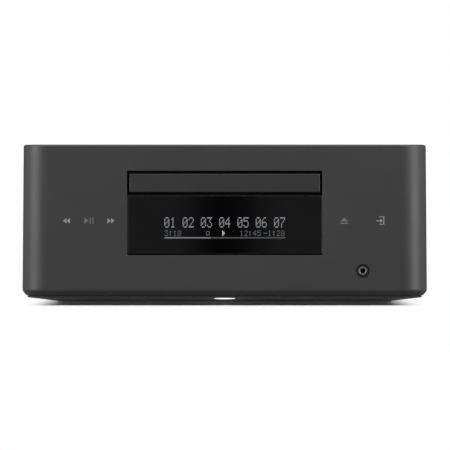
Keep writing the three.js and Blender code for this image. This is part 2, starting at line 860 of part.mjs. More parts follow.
// Disc tray: two wells, a slot for the turntable and pickup, rails and a rack underneath
const rackPitch = Math.PI * gearSize.rackModule;
const rackPinionRadius = (gearSize.rackModule * gearSize.rackPinionTeeth) / 2;
const rackRootX = -trayHalf + tray.railWidth + rackSize.backWidth + clearance.running;
const rackPitchX = rackRootX + gearSize.rackModule * gearSize.dedendumShare;
const gearX = rackPitchX + rackPinionRadius;
const wheelRadius = (gearSize.trainModule * gearSize.wheelTeeth) / 2;
const pinionRadius = (gearSize.trainModule * gearSize.pinionTeeth) / 2;
const gearY = chassisFront + wheelRadius + gearSize.trainModule + motor.radius;
const pulleyX = gearX + wheelRadius + pinionRadius;

// Half thickness of a tooth at a distance outside its pitch line, in modules
function toothHalfShare(outside) {
  return gearSize.halfToothShare - outside * Math.tan(THREE.MathUtils.degToRad(gearSize.pressureAngle));
}

function gearShape(teeth, module, phase) {
  const pitchRadius = (module * teeth) / 2;
  const profile = [
    [-1, -gearSize.dedendumShare],
    [-1, gearSize.addendumShare],
    [1, gearSize.addendumShare],
    [1, -gearSize.dedendumShare],
  ];
  const points = [];
  for (let tooth = 0; tooth < teeth; tooth++) {
    for (const [side, outside] of profile) {
      const radius = pitchRadius + outside * module;
      const half = (toothHalfShare(outside) * module) / radius;
      const angle = phase + (tooth * 2 * Math.PI) / teeth + side * half;
      points.push([radius * Math.cos(angle), radius * Math.sin(angle)]);
    }
  }
  return points;
}

function moved(points, x, y) {
  return polygon(points.map(([u, v]) => [u + x, v + y]));
}

function rackOutline() {
  const backX = rackRootX - rackSize.backWidth;
  const count = Math.floor((tray.travel + 2 * rackSize.endMargin) / rackPitch);
  const points = [];
  const start = gearY - Math.round(rackSize.endMargin / rackPitch) * rackPitch;
  points.push([backX, start - rackPitch / 2]);
  for (let tooth = 0; tooth < count; tooth++) {
    const y = start + tooth * rackPitch;
    const root = toothHalfShare(-gearSize.dedendumShare) * gearSize.rackModule;
    const tip = toothHalfShare(gearSize.addendumShare) * gearSize.rackModule;
    const tipX = rackPitchX + gearSize.addendumShare * gearSize.rackModule;
    points.push([rackRootX, y - root], [tipX, y - tip], [tipX, y + tip], [rackRootX, y + root]);
  }
  points.push([backX, start + (count - 0.5) * rackPitch]);
  return polygon(points);
}

function makeTray() {
  const deck = box([-trayHalf, trayFront, deckBottom], [trayHalf, trayRear, trayTop]);
  const wellRadius = tray.discRadius + tray.wellClearance;
  const wells = [
    rodZ(wellRadius, 0, discY, wellFloor, trayTop + clearance.overrun, steps.disc * 2),
    rodZ(tray.smallDiscRadius + tray.wellClearance, 0, discY, smallWellFloor, trayTop, steps.disc),
  ];
  const through = [
    rodZ(tray.hubHoleRadius, 0, discY, deckBottom - clearance.overrun, trayTop, steps.disc),
    box(
      [-tray.slotWidth / 2, discY, deckBottom - clearance.overrun],
      [tray.slotWidth / 2, trayRear + clearance.overrun, trayTop + clearance.overrun],
    ),
  ];
  const notchFloor = wellFloor - tray.notchDepth / 2;
  const notches = [-1, 1].map((side) =>
    rodZ(tray.notchRadius, side * wellRadius, discY, notchFloor, trayTop + clearance.overrun, steps.disc / 2),
  );
  const keep = box(
    [-trayHalf + door.edgeRadius * 2, trayFront, notchFloor],
    [trayHalf - door.edgeRadius * 2, trayRear, trayTop + clearance.overrun],
  );
  const rails = [-1, 1].map((side) => {
    const [a, b] = [side * trayHalf, side * (trayHalf - tray.railWidth)].sort((p, q) => p - q);
    return box([a, trayFront, railBottom], [b, trayRear, deckBottom + clearance.bite]);
  });
  const rack = prismZ(rackOutline(), railBottom, deckBottom + clearance.bite);
  const body = join(deck.subtract(join(wells)), rails, rack);
  addPart("disc_tray", cut(body, through, notches.map((n) => n.intersect(keep))), finishes.black);
  const doorShape = roundedRect(doorWidth, door.height, door.edgeRadius, 0, (doorTop + doorBottom) / 2);
  addPart("tray_door", prismY(doorShape, glassFront, glassFront + door.thickness, 2), finishes.door);
}

// Planes of the loading drive and of the traverse under the tray
const pulleyZ = chassisTop + gearLayer;
const wheelZ = pulleyZ + belt.pulleyHeight + gearLayer;
const wheelTop = wheelZ + gearSize.faceWidth;
const rackPinionTop = deckBottom - clearance.running;
const motorX = pulleyX + motor.fromCentre;
const traverseTop = deckBottom - clearance.running - pickup.rodRadius - pickup.rodHeight;
const traverseBottom = traverseTop - traverse.thickness;
const traverseMid = (traverseTop + traverseBottom) / 2;
const traverseFront = discY - traverse.frontReach;
const traverseRear = discY + traverse.rearReach;
const pivotY = traverseRear - traverse.pivotFromRear;
const camRear = traverseFront - clearance.running;
const camFront = camRear - cam.thickness;
const camLow = traverseMid - cam.drop - traverse.pinRadius - cam.slotMargin;
const camHigh = traverseMid + traverse.pinRadius + cam.slotMargin / 2;
const pinXs = [-traverse.pinSpacing / 2, traverse.pinSpacing / 2];
const rodLevel = traverseTop + pickup.rodHeight;
const rodXs = [-pickup.rodSpacing / 2, pickup.rodSpacing / 2];
const plateLow = discSeat - spindle.plateThickness;
const screwX = rodXs[1] + screwDrive.fromRod;

// Frame of the disc mechanism, with the tray ledges, gear posts and traverse pivots
function makeChassis() {
  const floor = box([-chassisHalf, chassisFront, chassisBottom], [chassisHalf, chassisRear, chassisTop]);
  const drop = box(
    [-chassis.openingHalfWidth, camFront - clearance.running * 2, chassisBottom - clearance.overrun],
    [chassis.openingHalfWidth, traverseRear + clearance.running * 2, chassisTop + clearance.overrun],
  );
  const pieces = [];
  for (const side of [-1, 1]) {
    const across = (a, b) => [side * a, side * b].sort((p, q) => p - q);
    const slab = (xs, ys, zs) => {
      const [x0, x1] = across(...xs);
      return box([x0, ys[0], zs[0]], [x1, ys[1], zs[1]]);
    };
    const wall = [chassisInner, chassisOuter];
    const whole = [chassisFront, chassisRear];
    const root = chassisInner + clearance.bite;
    pieces.push(slab(wall, whole, [chassisTop - clearance.bite, chassisSideTop]));
    pieces.push(slab([chassisInner - chassis.ledgeWidth, root], whole, [ledgeZ - chassis.ledgeThickness, ledgeZ]));
    const post = [discY - chassis.bridgePostLength / 2, discY + chassis.bridgePostLength / 2];
    pieces.push(slab(wall, post, [chassisSideTop - clearance.bite, bridgeSeat]));
    for (const share of chassisTabShares) {
      const y = chassisFront + share * (trayRear - chassisFront);
      const tab = [y, y + chassis.tabLength];
      pieces.push(slab([chassisInner - chassis.tabReach, root], tab, [trayTop + clearance.running, chassisSideTop]));
    }
    const lug = [chassis.openingHalfWidth, chassis.openingHalfWidth + chassis.pivotLug];
    const lugY = [pivotY - chassis.pivotLugLength / 2, pivotY + chassis.pivotLugLength / 2];
    pieces.push(slab(lug, lugY, [chassisTop - clearance.bite, traverseMid + traverse.trunnionRadius * 1.5]));
  }
  const rearWall = box(
    [-chassisOuter, chassisRear - chassis.wall, chassisTop - clearance.bite],
    [chassisOuter, chassisRear, ledgeZ + chassis.rearWallRise],
  );
  const axleFloor = chassisTop - clearance.bite;
  const posts = [
    rodZ(gearSize.bossRadius, gearX, gearY, axleFloor, wheelZ - clearance.running, steps.small),
    rodZ(gearSize.axleRadius, gearX, gearY, axleFloor, rackPinionTop, steps.small),
    rodZ(gearSize.axleRadius, pulleyX, gearY, axleFloor, wheelTop, steps.small),
  ];
  const studTop = chassisTop + clearance.running + cam.flangeThickness + clearance.bite;
  const studY = camFront - cam.flangeReach / 2;
  const studs = pinXs.map((x) => rodZ(chassis.studRadius, x, studY, axleFloor, studTop, steps.boss));
  const seatRadius = traverse.trunnionRadius + clearance.running / 2;
  const reach = chassisHalf;
  const bearing = rodX(seatRadius, pivotY, traverseMid, -reach, reach, steps.small);
  const mouth = box([-reach, pivotY - seatRadius, traverseMid], [reach, pivotY + seatRadius, chassisSideTop]);
  const lugZone = box(
    [-chassis.openingHalfWidth - chassis.pivotLug, pivotY - seatRadius * 2, chassisTop],
    [chassis.openingHalfWidth + chassis.pivotLug, pivotY + seatRadius * 2, chassisSideTop],
  );
  const shaftHole = rodZ(
    motor.shaftRadius * 2,
    motorX,
    gearY,
    chassisBottom - clearance.overrun,
    chassisTop + clearance.overrun,
    steps.small,
  );
  const body = join(floor.subtract(drop), pieces, rearWall, posts, studs);
  addPart("mechanism_frame", cut(body, shaftHole, join(bearing, mouth).intersect(lugZone)), finishes.black);
}

// Bridge over the disc, with the clamp puck that hangs in it
function makeClamp() {
  const plate = prismZ(
    roundedRect(chassisOuter * 2, clamp.bridgeWidth, chassis.wall, 0, discY),
    bridgeBottom,
    bridgeTop,
  );
  const lips = [-1, 1].map((side) => {
    const y = discY + (side * (clamp.bridgeWidth - clamp.bridgeThickness)) / 2;
    return box(
      [-chassisInner + clamp.bridgeThickness, y - clamp.bridgeThickness / 2, bridgeTop - clearance.bite],
      [chassisInner - clamp.bridgeThickness, y + clamp.bridgeThickness / 2, bridgeTop + clamp.bridgeThickness],
    );
  });
  const hole = rodZ(
    clamp.holeRadius,
    0,
    discY,
    bridgeBottom - clearance.overrun,
    bridgeTop + clearance.overrun,
    steps.disc,
  );
  addPart("clamp_bridge", join(plate, lips).subtract(hole), finishes.steel);
  const puckFoot = bridgeBottom - clamp.drop;
  const flangeBottom = bridgeTop + clearance.seat;
  const flangeTop = flangeBottom + clamp.puckFlangeThickness;
  const profile = [
    [0, puckFoot + clamp.recessDepth],
    [clamp.recessRadius, puckFoot + clamp.recessDepth],
    [clamp.recessRadius, puckFoot],
    [clamp.puckRadius, puckFoot],
    [clamp.puckRadius, flangeBottom],
    [clamp.puckFlangeRadius, flangeBottom],
    [clamp.puckFlangeRadius, flangeTop],
    [0, flangeTop],
  ];
  addPart("clamp_puck", turnedZ(profile, 0, discY, steps.disc), finishes.black);
}

// Traverse that tilts down at its front, and what rides on it
function makeTraverse() {
  const plate = box(
    [-traverse.halfWidth, traverseFront, traverseBottom],
    [traverse.halfWidth, traverseRear, traverseTop],
  );
  const windowFront = discY + traverse.windowFront;
  const windowRear = discY + traverse.windowRear;
  const low = traverseBottom - clearance.overrun;
  const high = traverseTop + clearance.overrun;
  const window = box([-traverse.windowHalfWidth, windowFront, low], [traverse.windowHalfWidth, windowRear, high]);
  const shaftHole = rodZ(spindle.shaftRadius * 2, 0, discY, low, high, steps.small);
  const screwFront = windowFront;
  const motorRear = windowRear - clearance.running;
  const motorFront = motorRear - screwDrive.motorLength;
  const nutHalf = pickup.nutWidth / 2 + clearance.running;
  const screwSlot = box([screwX - nutHalf, screwFront, low], [screwX + nutHalf, motorFront, high]);
  const saddle = screwDrive.motorRadius + clearance.seat;
  const motorBay = box(
    [screwX - saddle, motorFront - clearance.seat, low],
    [traverse.halfWidth + clearance.overrun, motorRear + clearance.seat, high],
  );
  const lugs = [];
  const bores = [];
  const lugTop = rodLevel + pickup.rodRadius + clearance.running;
  const frontLug = discY + pickup.bodyFront - clearance.running - traverse.lugThickness;
  const rearLug = windowRear + clearance.running;
  const boreRadius = pickup.rodRadius + clearance.seat;
  for (const x of rodXs) {
    for (const y of [frontLug, rearLug]) {
      lugs.push(
        box(
          [x - traverse.lugWidth / 2, y, traverseTop - clearance.bite],
          [x + traverse.lugWidth / 2, y + traverse.lugThickness, lugTop],
        ),
      );
    }
    bores.push(rodY(boreRadius, x, rodLevel, frontLug + traverse.lugThickness / 4, rearLug + traverse.lugThickness * 2));
  }
  const bearing = box(
    [screwX - nutHalf - clearance.bite, screwFront - traverse.lugThickness, traverseMid - screwDrive.radius * 2],
    [screwX + nutHalf, screwFront, traverseMid + screwDrive.radius * 2],
  );
  const bearingBore = rodY(
    screwDrive.radius + clearance.seat,
    screwX,
    traverseMid,
    screwFront - traverse.lugThickness / 2,
    screwFront + clearance.overrun,
  );
  const pinLength = clearance.running + cam.thickness + clearance.bite;
  const pins = pinXs.map((x) =>
    rodY(traverse.pinRadius, x, traverseMid, traverseFront - pinLength, traverseFront + clearance.bite),
  );
  const trunnionEnd = chassis.openingHalfWidth + chassis.pivotLug;
  const trunnions = [-1, 1].map((side) => {
    const [x0, x1] = [side * (traverse.halfWidth - clearance.bite), side * trunnionEnd].sort((a, b) => a - b);
    return rodX(traverse.trunnionRadius, pivotY, traverseMid, x0, x1);
  });
  const collar = rodX(traverse.trunnionRadius, pivotY, traverseMid, -traverse.halfWidth, traverse.halfWidth);
  const body = join(plate, lugs, bearing, pins, trunnions, collar);
  addPart("traverse_frame", cut(body, window, shaftHole, screwSlot, motorBay, bores, bearingBore), finishes.steel);
  rodXs.forEach((x, i) => {
    const ends = [frontLug + traverse.lugThickness / 2, rearLug + traverse.lugThickness];
    addPart(["guide_rod_left", "guide_rod_right"][i], rodY(pickup.rodRadius, x, rodLevel, ...ends), finishes.steel);
  });
  const bore = spindle.shaftRadius + clearance.running;
  const motorTop = traverseBottom - clearance.seat;
  const motorLow = motorTop - spindle.motorHeight;
  const shaftLow = motorTop - spindle.motorHeight / 2;
  const can = rodZ(spindle.motorRadius, 0, discY, motorLow, motorTop, steps.foot);
  const canBore = rodZ(bore, 0, discY, shaftLow - clearance.running, motorTop + clearance.overrun, steps.small);
  addPart("spindle_motor", can.subtract(canBore), finishes.steel);
  const hubEdge = spindle.hubHeight / 3;
  const profile = [
    [0, shaftLow],
    [spindle.shaftRadius, shaftLow],
    [spindle.shaftRadius, plateLow],
    [spindle.plateRadius, plateLow],
    [spindle.plateRadius, discSeat],
    [spindle.hubRadius, discSeat],
    [spindle.hubRadius, discSeat + spindle.hubHeight - hubEdge],
    [spindle.hubRadius - hubEdge, discSeat + spindle.hubHeight],
    [0, discSeat + spindle.hubHeight],
  ];
  addPart("turntable", turnedZ(profile, 0, discY, steps.disc), finishes.black);
  makePickup(motorFront);
}

// Optical pickup on its rods, with the screw and motor that drive it
function makePickup(motorFront) {
  const front = discY + pickup.bodyFront;
  const low = traverseTop + pickup.bodyRise;
  const high = plateLow - pickup.underPlate;
  const body = box([-pickup.width / 2, front, low], [pickup.width / 2, front + pickup.length, high]);
  const blockFront = front + (pickup.length - pickup.blockLength) / 2;
  const block = box(
    [-pickup.blockWidth / 2, blockFront, low - pickup.blockDrop],
    [pickup.blockWidth / 2, blockFront + pickup.blockLength, low + clearance.bite],
  );
  const lensY0 = discY + pickup.innerRadius;
  const lensTop = discSeat - pickup.lensFromDisc;
  const turret = rodZ(pickup.lensRadius, 0, lensY0, high - clearance.bite, lensTop, steps.foot);
  const middle = front + pickup.length / 2;
  const armX = screwX + pickup.nutWidth / 2;
  const arm = box(
    [pickup.width / 2 - clearance.bite, middle - pickup.armWidth / 2, low],
    [armX, middle + pickup.armWidth / 2, low + pickup.armThickness],
  );
  const nut = box(
    [screwX - pickup.nutWidth / 2, middle - pickup.armWidth / 2, traverseMid],
    [armX, middle + pickup.armWidth / 2, low + clearance.bite],
  );
  const bores = rodXs.map((x) =>
    rodY(pickup.rodRadius + clearance.running, x, rodLevel, front - clearance.overrun, front + pickup.length * 2),
  );
  const thread = rodY(
    screwDrive.radius + clearance.running,
    screwX,
    traverseMid,
    front - clearance.overrun,
    front + pickup.length * 2,
  );
  addPart("optical_pickup", cut(join(body, block, turret, arm, nut), bores, thread), finishes.black);
  const screwFront = discY + traverse.windowFront - traverse.lugThickness / 2 + clearance.running;
  const screwRear = motorFront + screwDrive.motorLength / 3;
  addPart("sled_screw", rodY(screwDrive.radius, screwX, traverseMid, screwFront, screwRear), finishes.steel);
  const motorRear = motorFront + screwDrive.motorLength;
  const can = rodY(screwDrive.motorRadius, screwX, traverseMid, motorFront, motorRear, steps.foot);
  const bore = rodY(
    screwDrive.radius + clearance.running,
    screwX,
    traverseMid,
    motorFront - clearance.overrun,
    screwRear + clearance.running,
  );
  addPart("sled_motor", can.subtract(bore), finishes.steel);
}

// Slider with two sloping slots that lower the traverse pins
function makeCam() {
  const x0 = pinXs[0] - cam.travel - (cam.width - traverse.pinSpacing - cam.travel) / 2;
  const x1 = x0 + cam.width;
  const footLow = chassisTop + clearance.running;
  const plate = box([x0, camFront, camLow], [x1, camRear, camHigh]);
  const flange = box(
    [x0, camFront - cam.flangeReach, footLow],
    [x1, camFront + clearance.bite, footLow + cam.flangeThickness],
  );
  const half = traverse.pinRadius + clearance.running;
  const slots = pinXs.map((x) => {
    const length = Math.hypot(cam.travel, cam.drop);
    const [nx, nz] = [(-cam.drop / length) * half, (cam.travel / length) * half];
    const [ex, ez] = [x - cam.travel, traverseMid - cam.drop];
    const sloping = polygon([
      [ex - nx, ez - nz],
      [x - nx, traverseMid - nz],
      [x + nx, traverseMid + nz],
      [ex + nx, ez + nz],
    ]);
    const y0 = camFront - clearance.overrun;
    const y1 = camRear + clearance.overrun;
    return join(
      prismY(sloping, y0, y1),
      rodY(half, x, traverseMid, y0, y1, steps.socket),
      rodY(half, ex, ez, y0, y1, steps.socket),
    );
  });
  const studHalf = chassis.studRadius + clearance.running;
  const studY = camFront - cam.flangeReach / 2;
  const guides = pinXs.map((x) =>
    box(
      [x - cam.travel - studHalf, studY - studHalf, footLow - clearance.overrun],
      [x + studHalf, studY + studHalf, footLow + cam.flangeThickness + clearance.overrun],
    ),
  );
  const low = box([x0, camFront, camLow], [x1, camRear + clearance.overrun, footLow]);
  addPart("cam_slider", cut(join(plate, flange), slots, guides.map((g) => g.subtract(low))), finishes.white);
}

// Loading drive: motor, belt, pulley gear and the gear that pushes the rack
function makeLoadingDrive() {
  const bore = gearSize.axleRadius + clearance.seat;
  const high = trayTop;
  const wheel = prismZ(
    moved(gearShape(gearSize.wheelTeeth, gearSize.trainModule, 0), gearX, gearY),
    wheelZ,
    wheelTop,
  );
  const neckTop = rackPinionTop - gearSize.rackPinionFace;
  const neck = rodZ(gearSize.neckRadius, gearX, gearY, wheelTop - clearance.bite, neckTop + clearance.bite);
  const halfTooth = Math.PI / gearSize.rackPinionTeeth;
  const rackPinion = prismZ(
    moved(gearShape(gearSize.rackPinionTeeth, gearSize.rackModule, halfTooth), gearX, gearY),
    neckTop,
    rackPinionTop,
  );
  const trayBore = rodZ(bore, gearX, gearY, chassisTop, high, steps.small);
  addPart("tray_gear", join(wheel, neck, rackPinion).subtract(trayBore), finishes.white);
  const pinion = prismZ(
    moved(gearShape(gearSize.pinionTeeth, gearSize.trainModule, Math.PI / gearSize.pinionTeeth), pulleyX, gearY),
    pulleyZ + belt.pulleyHeight - clearance.bite,
    wheelTop,
  );
  const pulleyBore = rodZ(bore, pulleyX, gearY, chassisTop, high, steps.small);
  const pulley = join(pinion, turnedZ(pulleyProfile(belt.bigRadius), pulleyX, gearY, steps.foot));
  addPart("pulley_gear", pulley.subtract(pulleyBore), finishes.white);
  const shaftBore = rodZ(motor.shaftRadius + clearance.seat, motorX, gearY, chassisTop, high, steps.small);
  const small = turnedZ(pulleyProfile(belt.smallRadius), motorX, gearY, steps.foot);
  addPart("motor_pulley", small.subtract(shaftBore), finishes.white);
  const loop = (grow) => {
    const shape = new THREE.Shape();
    const [big, little] = [belt.bigRadius + clearance.seat + grow, belt.smallRadius + clearance.seat + grow];
    const lean = Math.acos((big - little) / motor.fromCentre);
    shape.absarc(pulleyX, gearY, big, lean, Math.PI * 2 - lean, false);
    shape.absarc(motorX, gearY, little, -lean, lean, false);
    return shape;
  };
  const beltLow = pulleyZ + (belt.pulleyHeight - belt.height) / 2;
  const outer = prismZ(loop(belt.thickness), beltLow, beltLow + belt.height, steps.socket);
  const inner = prismZ(loop(0), beltLow - clearance.overrun, beltLow + clearance.overrun, steps.socket);
  addPart("drive_belt", outer.subtract(inner), finishes.rubber);
  const can = chassisBottom - clearance.seat;
  const profile = [
    [0, can - motor.length],
    [motor.radius - clearance.bite, can - motor.length],
    [motor.radius, can - motor.length + clearance.bite],
    [motor.radius, can],
    [motor.shaftRadius, can],
    [motor.shaftRadius, pulleyZ + belt.pulleyHeight],
    [0, pulleyZ + belt.pulleyHeight],
  ];
  addPart("loading_motor", turnedZ(profile, motorX, gearY, steps.foot), finishes.steel);
}

function pulleyProfile(grooveRadius) {
  const rim = (belt.pulleyHeight - belt.height) / 2 - clearance.seat;
  const [low, high] = [pulleyZ, pulleyZ + belt.pulleyHeight];
  const outside = grooveRadius + belt.flangeRise;
  return [
    [0, low],
    [outside, low],
    [outside, low + rim],
    [grooveRadius, low + rim],
    [grooveRadius, high - rim],
    [outside, high - rim],
    [outside, high],
    [0, high],
  ];
}

// Sheet stands that carry the mechanism over the main board
function makeBrackets() {
  const [y0, y1] = [frontPlane + bracket.fromFront, frontPlane + bracket.fromFront + bracket.length];
  const [low, high] = [panFloor + clearance.seat, chassisBottom - clearance.seat];
  for (const [name, side] of [["mechanism_stand_left", -1], ["mechanism_stand_right", 1]]) {
    const slab = (a, b, z0, z1) => {
      const [x0, x1] = [side * a, side * b].sort((p, q) => p - q);
      return box([x0, y0, z0], [x1, y1, z1]);
    };
    const inner = bracketOuter - bracket.flange;
    addPart(
      name,
      join(
        slab(bracketOuter - bracket.thickness, bracketOuter, low, high),
        slab(inner, bracketOuter, low, low + bracket.thickness),
        slab(inner, bracketOuter, high - bracket.thickness, high),
      ),
      finishes.steel,
    );
  }
}

// Rear panel plane, and the place of each socket on it
const panelHalf = halfWidth - cabinet.wall - leanAt(cabinet.height) - clearance.seat;
const panelBottom = panTop + clearance.seat;
const panelTop = coverBottom - clearance.seat;
const rearSeat = rearPlane + clearance.seat;
const panelCuts = [];

function placeOf(name) {
  const share = placeShares[name];
  return [share.xShare * panelHalf, panelBottom + share.zShare * (panelTop - panelBottom)];
}

// A block that sits in the rear panel: a flange outside, and a body through a cut-out
function panelBlock(x, z, size) {
  const { width, height, flange, inset, depth, radius } = size;
  const face = prismY(roundedRect(width, height, radius, x, z), rearSeat, rearSeat + flange);
  const [a, b] = [width / 2 - inset, height / 2 - inset];
  const body = box([x - a, rearSeat - depth, z - b], [x + a, rearSeat + clearance.bite, z + b]);
  const gap = clearance.seat;
  panelCuts.push(
    box([x - a - gap, rearInner - clearance.overrun, z - b - gap], [x + a + gap, rearPlane + flange, z + b + gap]),
  );
  return join(face, body);
}

// Speaker terminals: one moulded block with hollow posts, and a screw cap on each
function makeTerminals() {
  const [x, z] = placeOf("terminals");
  const width = terminals.pitch * terminals.count;
  const block = panelBlock(x, z, {
    width,
    height: terminals.flangeHeight,
    flange: terminals.flangeThickness,
    inset: terminals.bodyInset,
    depth: terminals.bodyDepth,
    radius: terminals.bodyInset,
  });
  const face = rearSeat + terminals.flangeThickness;
  const capStart = rearPlane + terminalBase + clearance.running;
  const capEnd = capStart + terminals.capLength;
  const studEnd = capEnd - terminals.capRecess;
  const posts = [];
  const bores = [];
  for (let i = 0; i < terminals.count; i++) {
    const postX = x + (i - (terminals.count - 1) / 2) * terminals.pitch;
    posts.push(rodY(terminals.collarRadius, postX, z, face - clearance.bite, face + terminals.collarHeight, steps.foot));
    posts.push(rodY(terminals.studRadius, postX, z, face, studEnd, steps.socket));
    bores.push(rodY(terminals.boreRadius, postX, z, face, studEnd + clearance.overrun, steps.socket));
    const points = [];
    for (let flute = 0; flute < terminals.knurls * 2; flute++) {
      const radius = terminals.capRadius - (flute % 2) * terminals.knurlDepth;
      const angle = (flute * Math.PI) / terminals.knurls;
      points.push([radius * Math.cos(angle), radius * Math.sin(angle)]);
    }
    const knurled = prismY(moved(points, postX, z), capStart, capEnd);
    const edge = terminals.capChamfer;
    const hull = [
      [0, capStart],
      [terminals.capRadius, capStart],
      [terminals.capRadius, capEnd - edge],
      [terminals.capRadius - edge, capEnd],
      [0, capEnd],
    ];
    const bore = rodY(terminals.studRadius + clearance.running, postX, z, capStart - edge, capEnd + edge, steps.socket);
    const cap = knurled.intersect(turnedY(hull, postX, z, steps.foot)).subtract(bore);
    addPart("terminal_cap_" + (i + 1), cap, finishes.black);
  }
  addPart("speaker_terminals", cut(join(block, posts), bores), finishes.black);
}

// Four phono sockets on one plate
function makeRca() {
  const [x, z] = placeOf("rca");
  const block = panelBlock(x, z, {
    width: rca.pitch + 2 * rca.flangeMargin,
    height: rca.rowPitch + 2 * rca.flangeMargin,
    flange: rca.flangeThickness,
    inset: rca.bodyInset,
    depth: rca.bodyDepth,
    radius: rca.bodyInset,
  });
  const face = rearSeat + rca.flangeThickness;
  const barrels = [];
  const bores = [];
  for (const u of [-1, 1]) {
    for (const v of [-1, 1]) {
      const [bx, bz] = [x + (u * rca.pitch) / 2, z + (v * rca.rowPitch) / 2];
      barrels.push(rodY(rca.collarRadius, bx, bz, face - clearance.bite, face + rca.collarHeight, steps.foot));
      barrels.push(rodY(rca.barrelRadius, bx, bz, face, face + rca.barrelLength, steps.foot));
      const end = face + rca.barrelLength;
      bores.push(rodY(rca.boreRadius, bx, bz, end - rca.boreDepth, end + clearance.overrun, steps.small));
    }
  }
  addPart("phono_sockets", cut(join(block, barrels), bores), finishes.black);
}

// Optical input with a hinged flap, which swings inwards at its top edge
function makeOptical() {
  const [x, z] = placeOf("optical");
  const half = optical.portSize / 2;
  const wall = optical.sideMargin;
  const block = panelBlock(x, z, {
    width: optical.portSize + wall * 2 + optical.flangeGrow,
    height: optical.bodyHeight,
    flange: optical.proud,
    inset: optical.flangeGrow,
    depth: optical.depth,
    radius: optical.flangeGrow,
  });
  const mouth = rearSeat + optical.proud;
  const port = box([x - half, mouth - optical.portDepth, z - half], [x + half, mouth + clearance.overrun, z + half]);
  const gap = clearance.running;
  const pinZ = z + half - optical.flapInset;
  const pinY = mouth - optical.flapInset - optical.flapThickness / 2;
  const pinReach = half + wall / 2;
  const bearing = rodX(optical.pinRadius + gap / 2, pinY, pinZ, x - pinReach - gap, x + pinReach + gap, steps.boss);
  addPart("optical_input", cut(block, port, bearing), finishes.black);
  const flap = box(
    [x - half + gap, pinY - optical.flapThickness / 2, z - half + gap],
    [x + half - gap, pinY + optical.flapThickness / 2, pinZ],
  );
  const pin = rodX(optical.pinRadius, pinY, pinZ, x - pinReach, x + pinReach, steps.boss);
  addPart("optical_flap", join(flap, pin), finishes.black);
}

// Network and USB sockets
function makeDataSockets() {
  const [x, z] = placeOf("lan");
  const shell = panelBlock(x, z, {
    width: lan.width,
    height: lan.height,
    flange: lan.proud,
    inset: clearance.bite,
    depth: lan.depth,
    radius: clearance.bite,
  });
  const mouth = rearSeat + lan.proud;
  const portZ = z - lan.portDrop;
  const deep = mouth - lan.portDepth;
  const port = join(
    box(
      [x - lan.portWidth / 2, deep, portZ - lan.portHeight / 2],
      [x + lan.portWidth / 2, mouth + clearance.overrun, portZ + lan.portHeight / 2],
    ),
    box(
      [x - lan.latchWidth / 2, deep, portZ],
      [x + lan.latchWidth / 2, mouth + clearance.overrun, portZ + lan.portHeight / 2 + lan.latchHeight],
    ),
  );
  addPart("network_socket", shell.subtract(port), finishes.steel);
  const [ux, uz] = placeOf("usb");
  const usbShell = panelBlock(ux, uz, {
    width: usb.width,
    height: usb.height,
    flange: usb.proud,
    inset: clearance.bite,
    depth: usb.depth,
    radius: clearance.bite,
  });
  const usbMouth = rearSeat + usb.proud;
  const [a, b] = [usb.width / 2 - usb.wall * 2, usb.height / 2 - usb.wall * 2];
  const bay = box([ux - a, usbMouth - usb.portDepth, uz - b], [ux + a, usbMouth + clearance.overrun, uz + b]);
  const tongue = box(
    [ux - usb.tongueWidth / 2, usbMouth - usb.portDepth - clearance.bite, uz + b - usb.tongueThickness],
    [ux + usb.tongueWidth / 2, usbMouth - clearance.bite, uz + b - usb.tongueThickness / 3],
  );
  addPart("usb_socket", join(usbShell.subtract(bay), tongue), finishes.steel);
}

// Two-pin mains inlet
function makeInlet() {
  const [x, z] = placeOf("inlet");
  const block = panelBlock(x, z, {
    width: inlet.width,
    height: inlet.height,
    flange: inlet.flangeThickness,
    inset: inlet.bodyInset,
    depth: inlet.bodyDepth,
    radius: inlet.bodyInset,
  });
  const mouth = rearSeat + inlet.flangeThickness;
  const deep = mouth - inlet.portDepth;
  const lobes = [-1, 1].map((side) => x + (side * inlet.lobeSpacing) / 2);
  const end = mouth + clearance.overrun;
  const port = join(
    lobes.map((u) => rodY(inlet.lobeRadius, u, z, deep, end, steps.foot)),
    box([lobes[0], deep, z - inlet.neckHeight / 2], [lobes[1], end, z + inlet.neckHeight / 2]),
  );
  const pins = lobes.map((u) => rodY(inlet.pinRadius, u, z, deep - clearance.bite, deep + inlet.pinLength, steps.boss));
  addPart("mains_inlet", join(block.subtract(port), pins), finishes.black);
}

// Screw-on aerial socket
function makeAerialSocket() {
  const [x, z] = placeOf("fm");
  const nutEnd = rearSeat + fm.hexHeight;
  const end = rearSeat + fm.length;
  const bodyStart = rearInner - fm.length / 2;
  const body = join(
    rodY(fm.hexRadius, x, z, rearSeat, nutEnd, 6),
    rodY(fm.barrelRadius, x, z, nutEnd - clearance.bite, end, steps.foot),
    rodY(fm.stubRadius, x, z, bodyStart, rearSeat + clearance.bite, steps.socket),
  );
  const bore = rodY(fm.boreRadius, x, z, end - fm.boreDepth, end + clearance.overrun, steps.boss);
  panelCuts.push(rodY(fm.stubRadius + clearance.seat, x, z, rearInner - fm.hexHeight, nutEnd, steps.socket));
  addPart("aerial_socket", body.subtract(bore), finishes.steel);
}

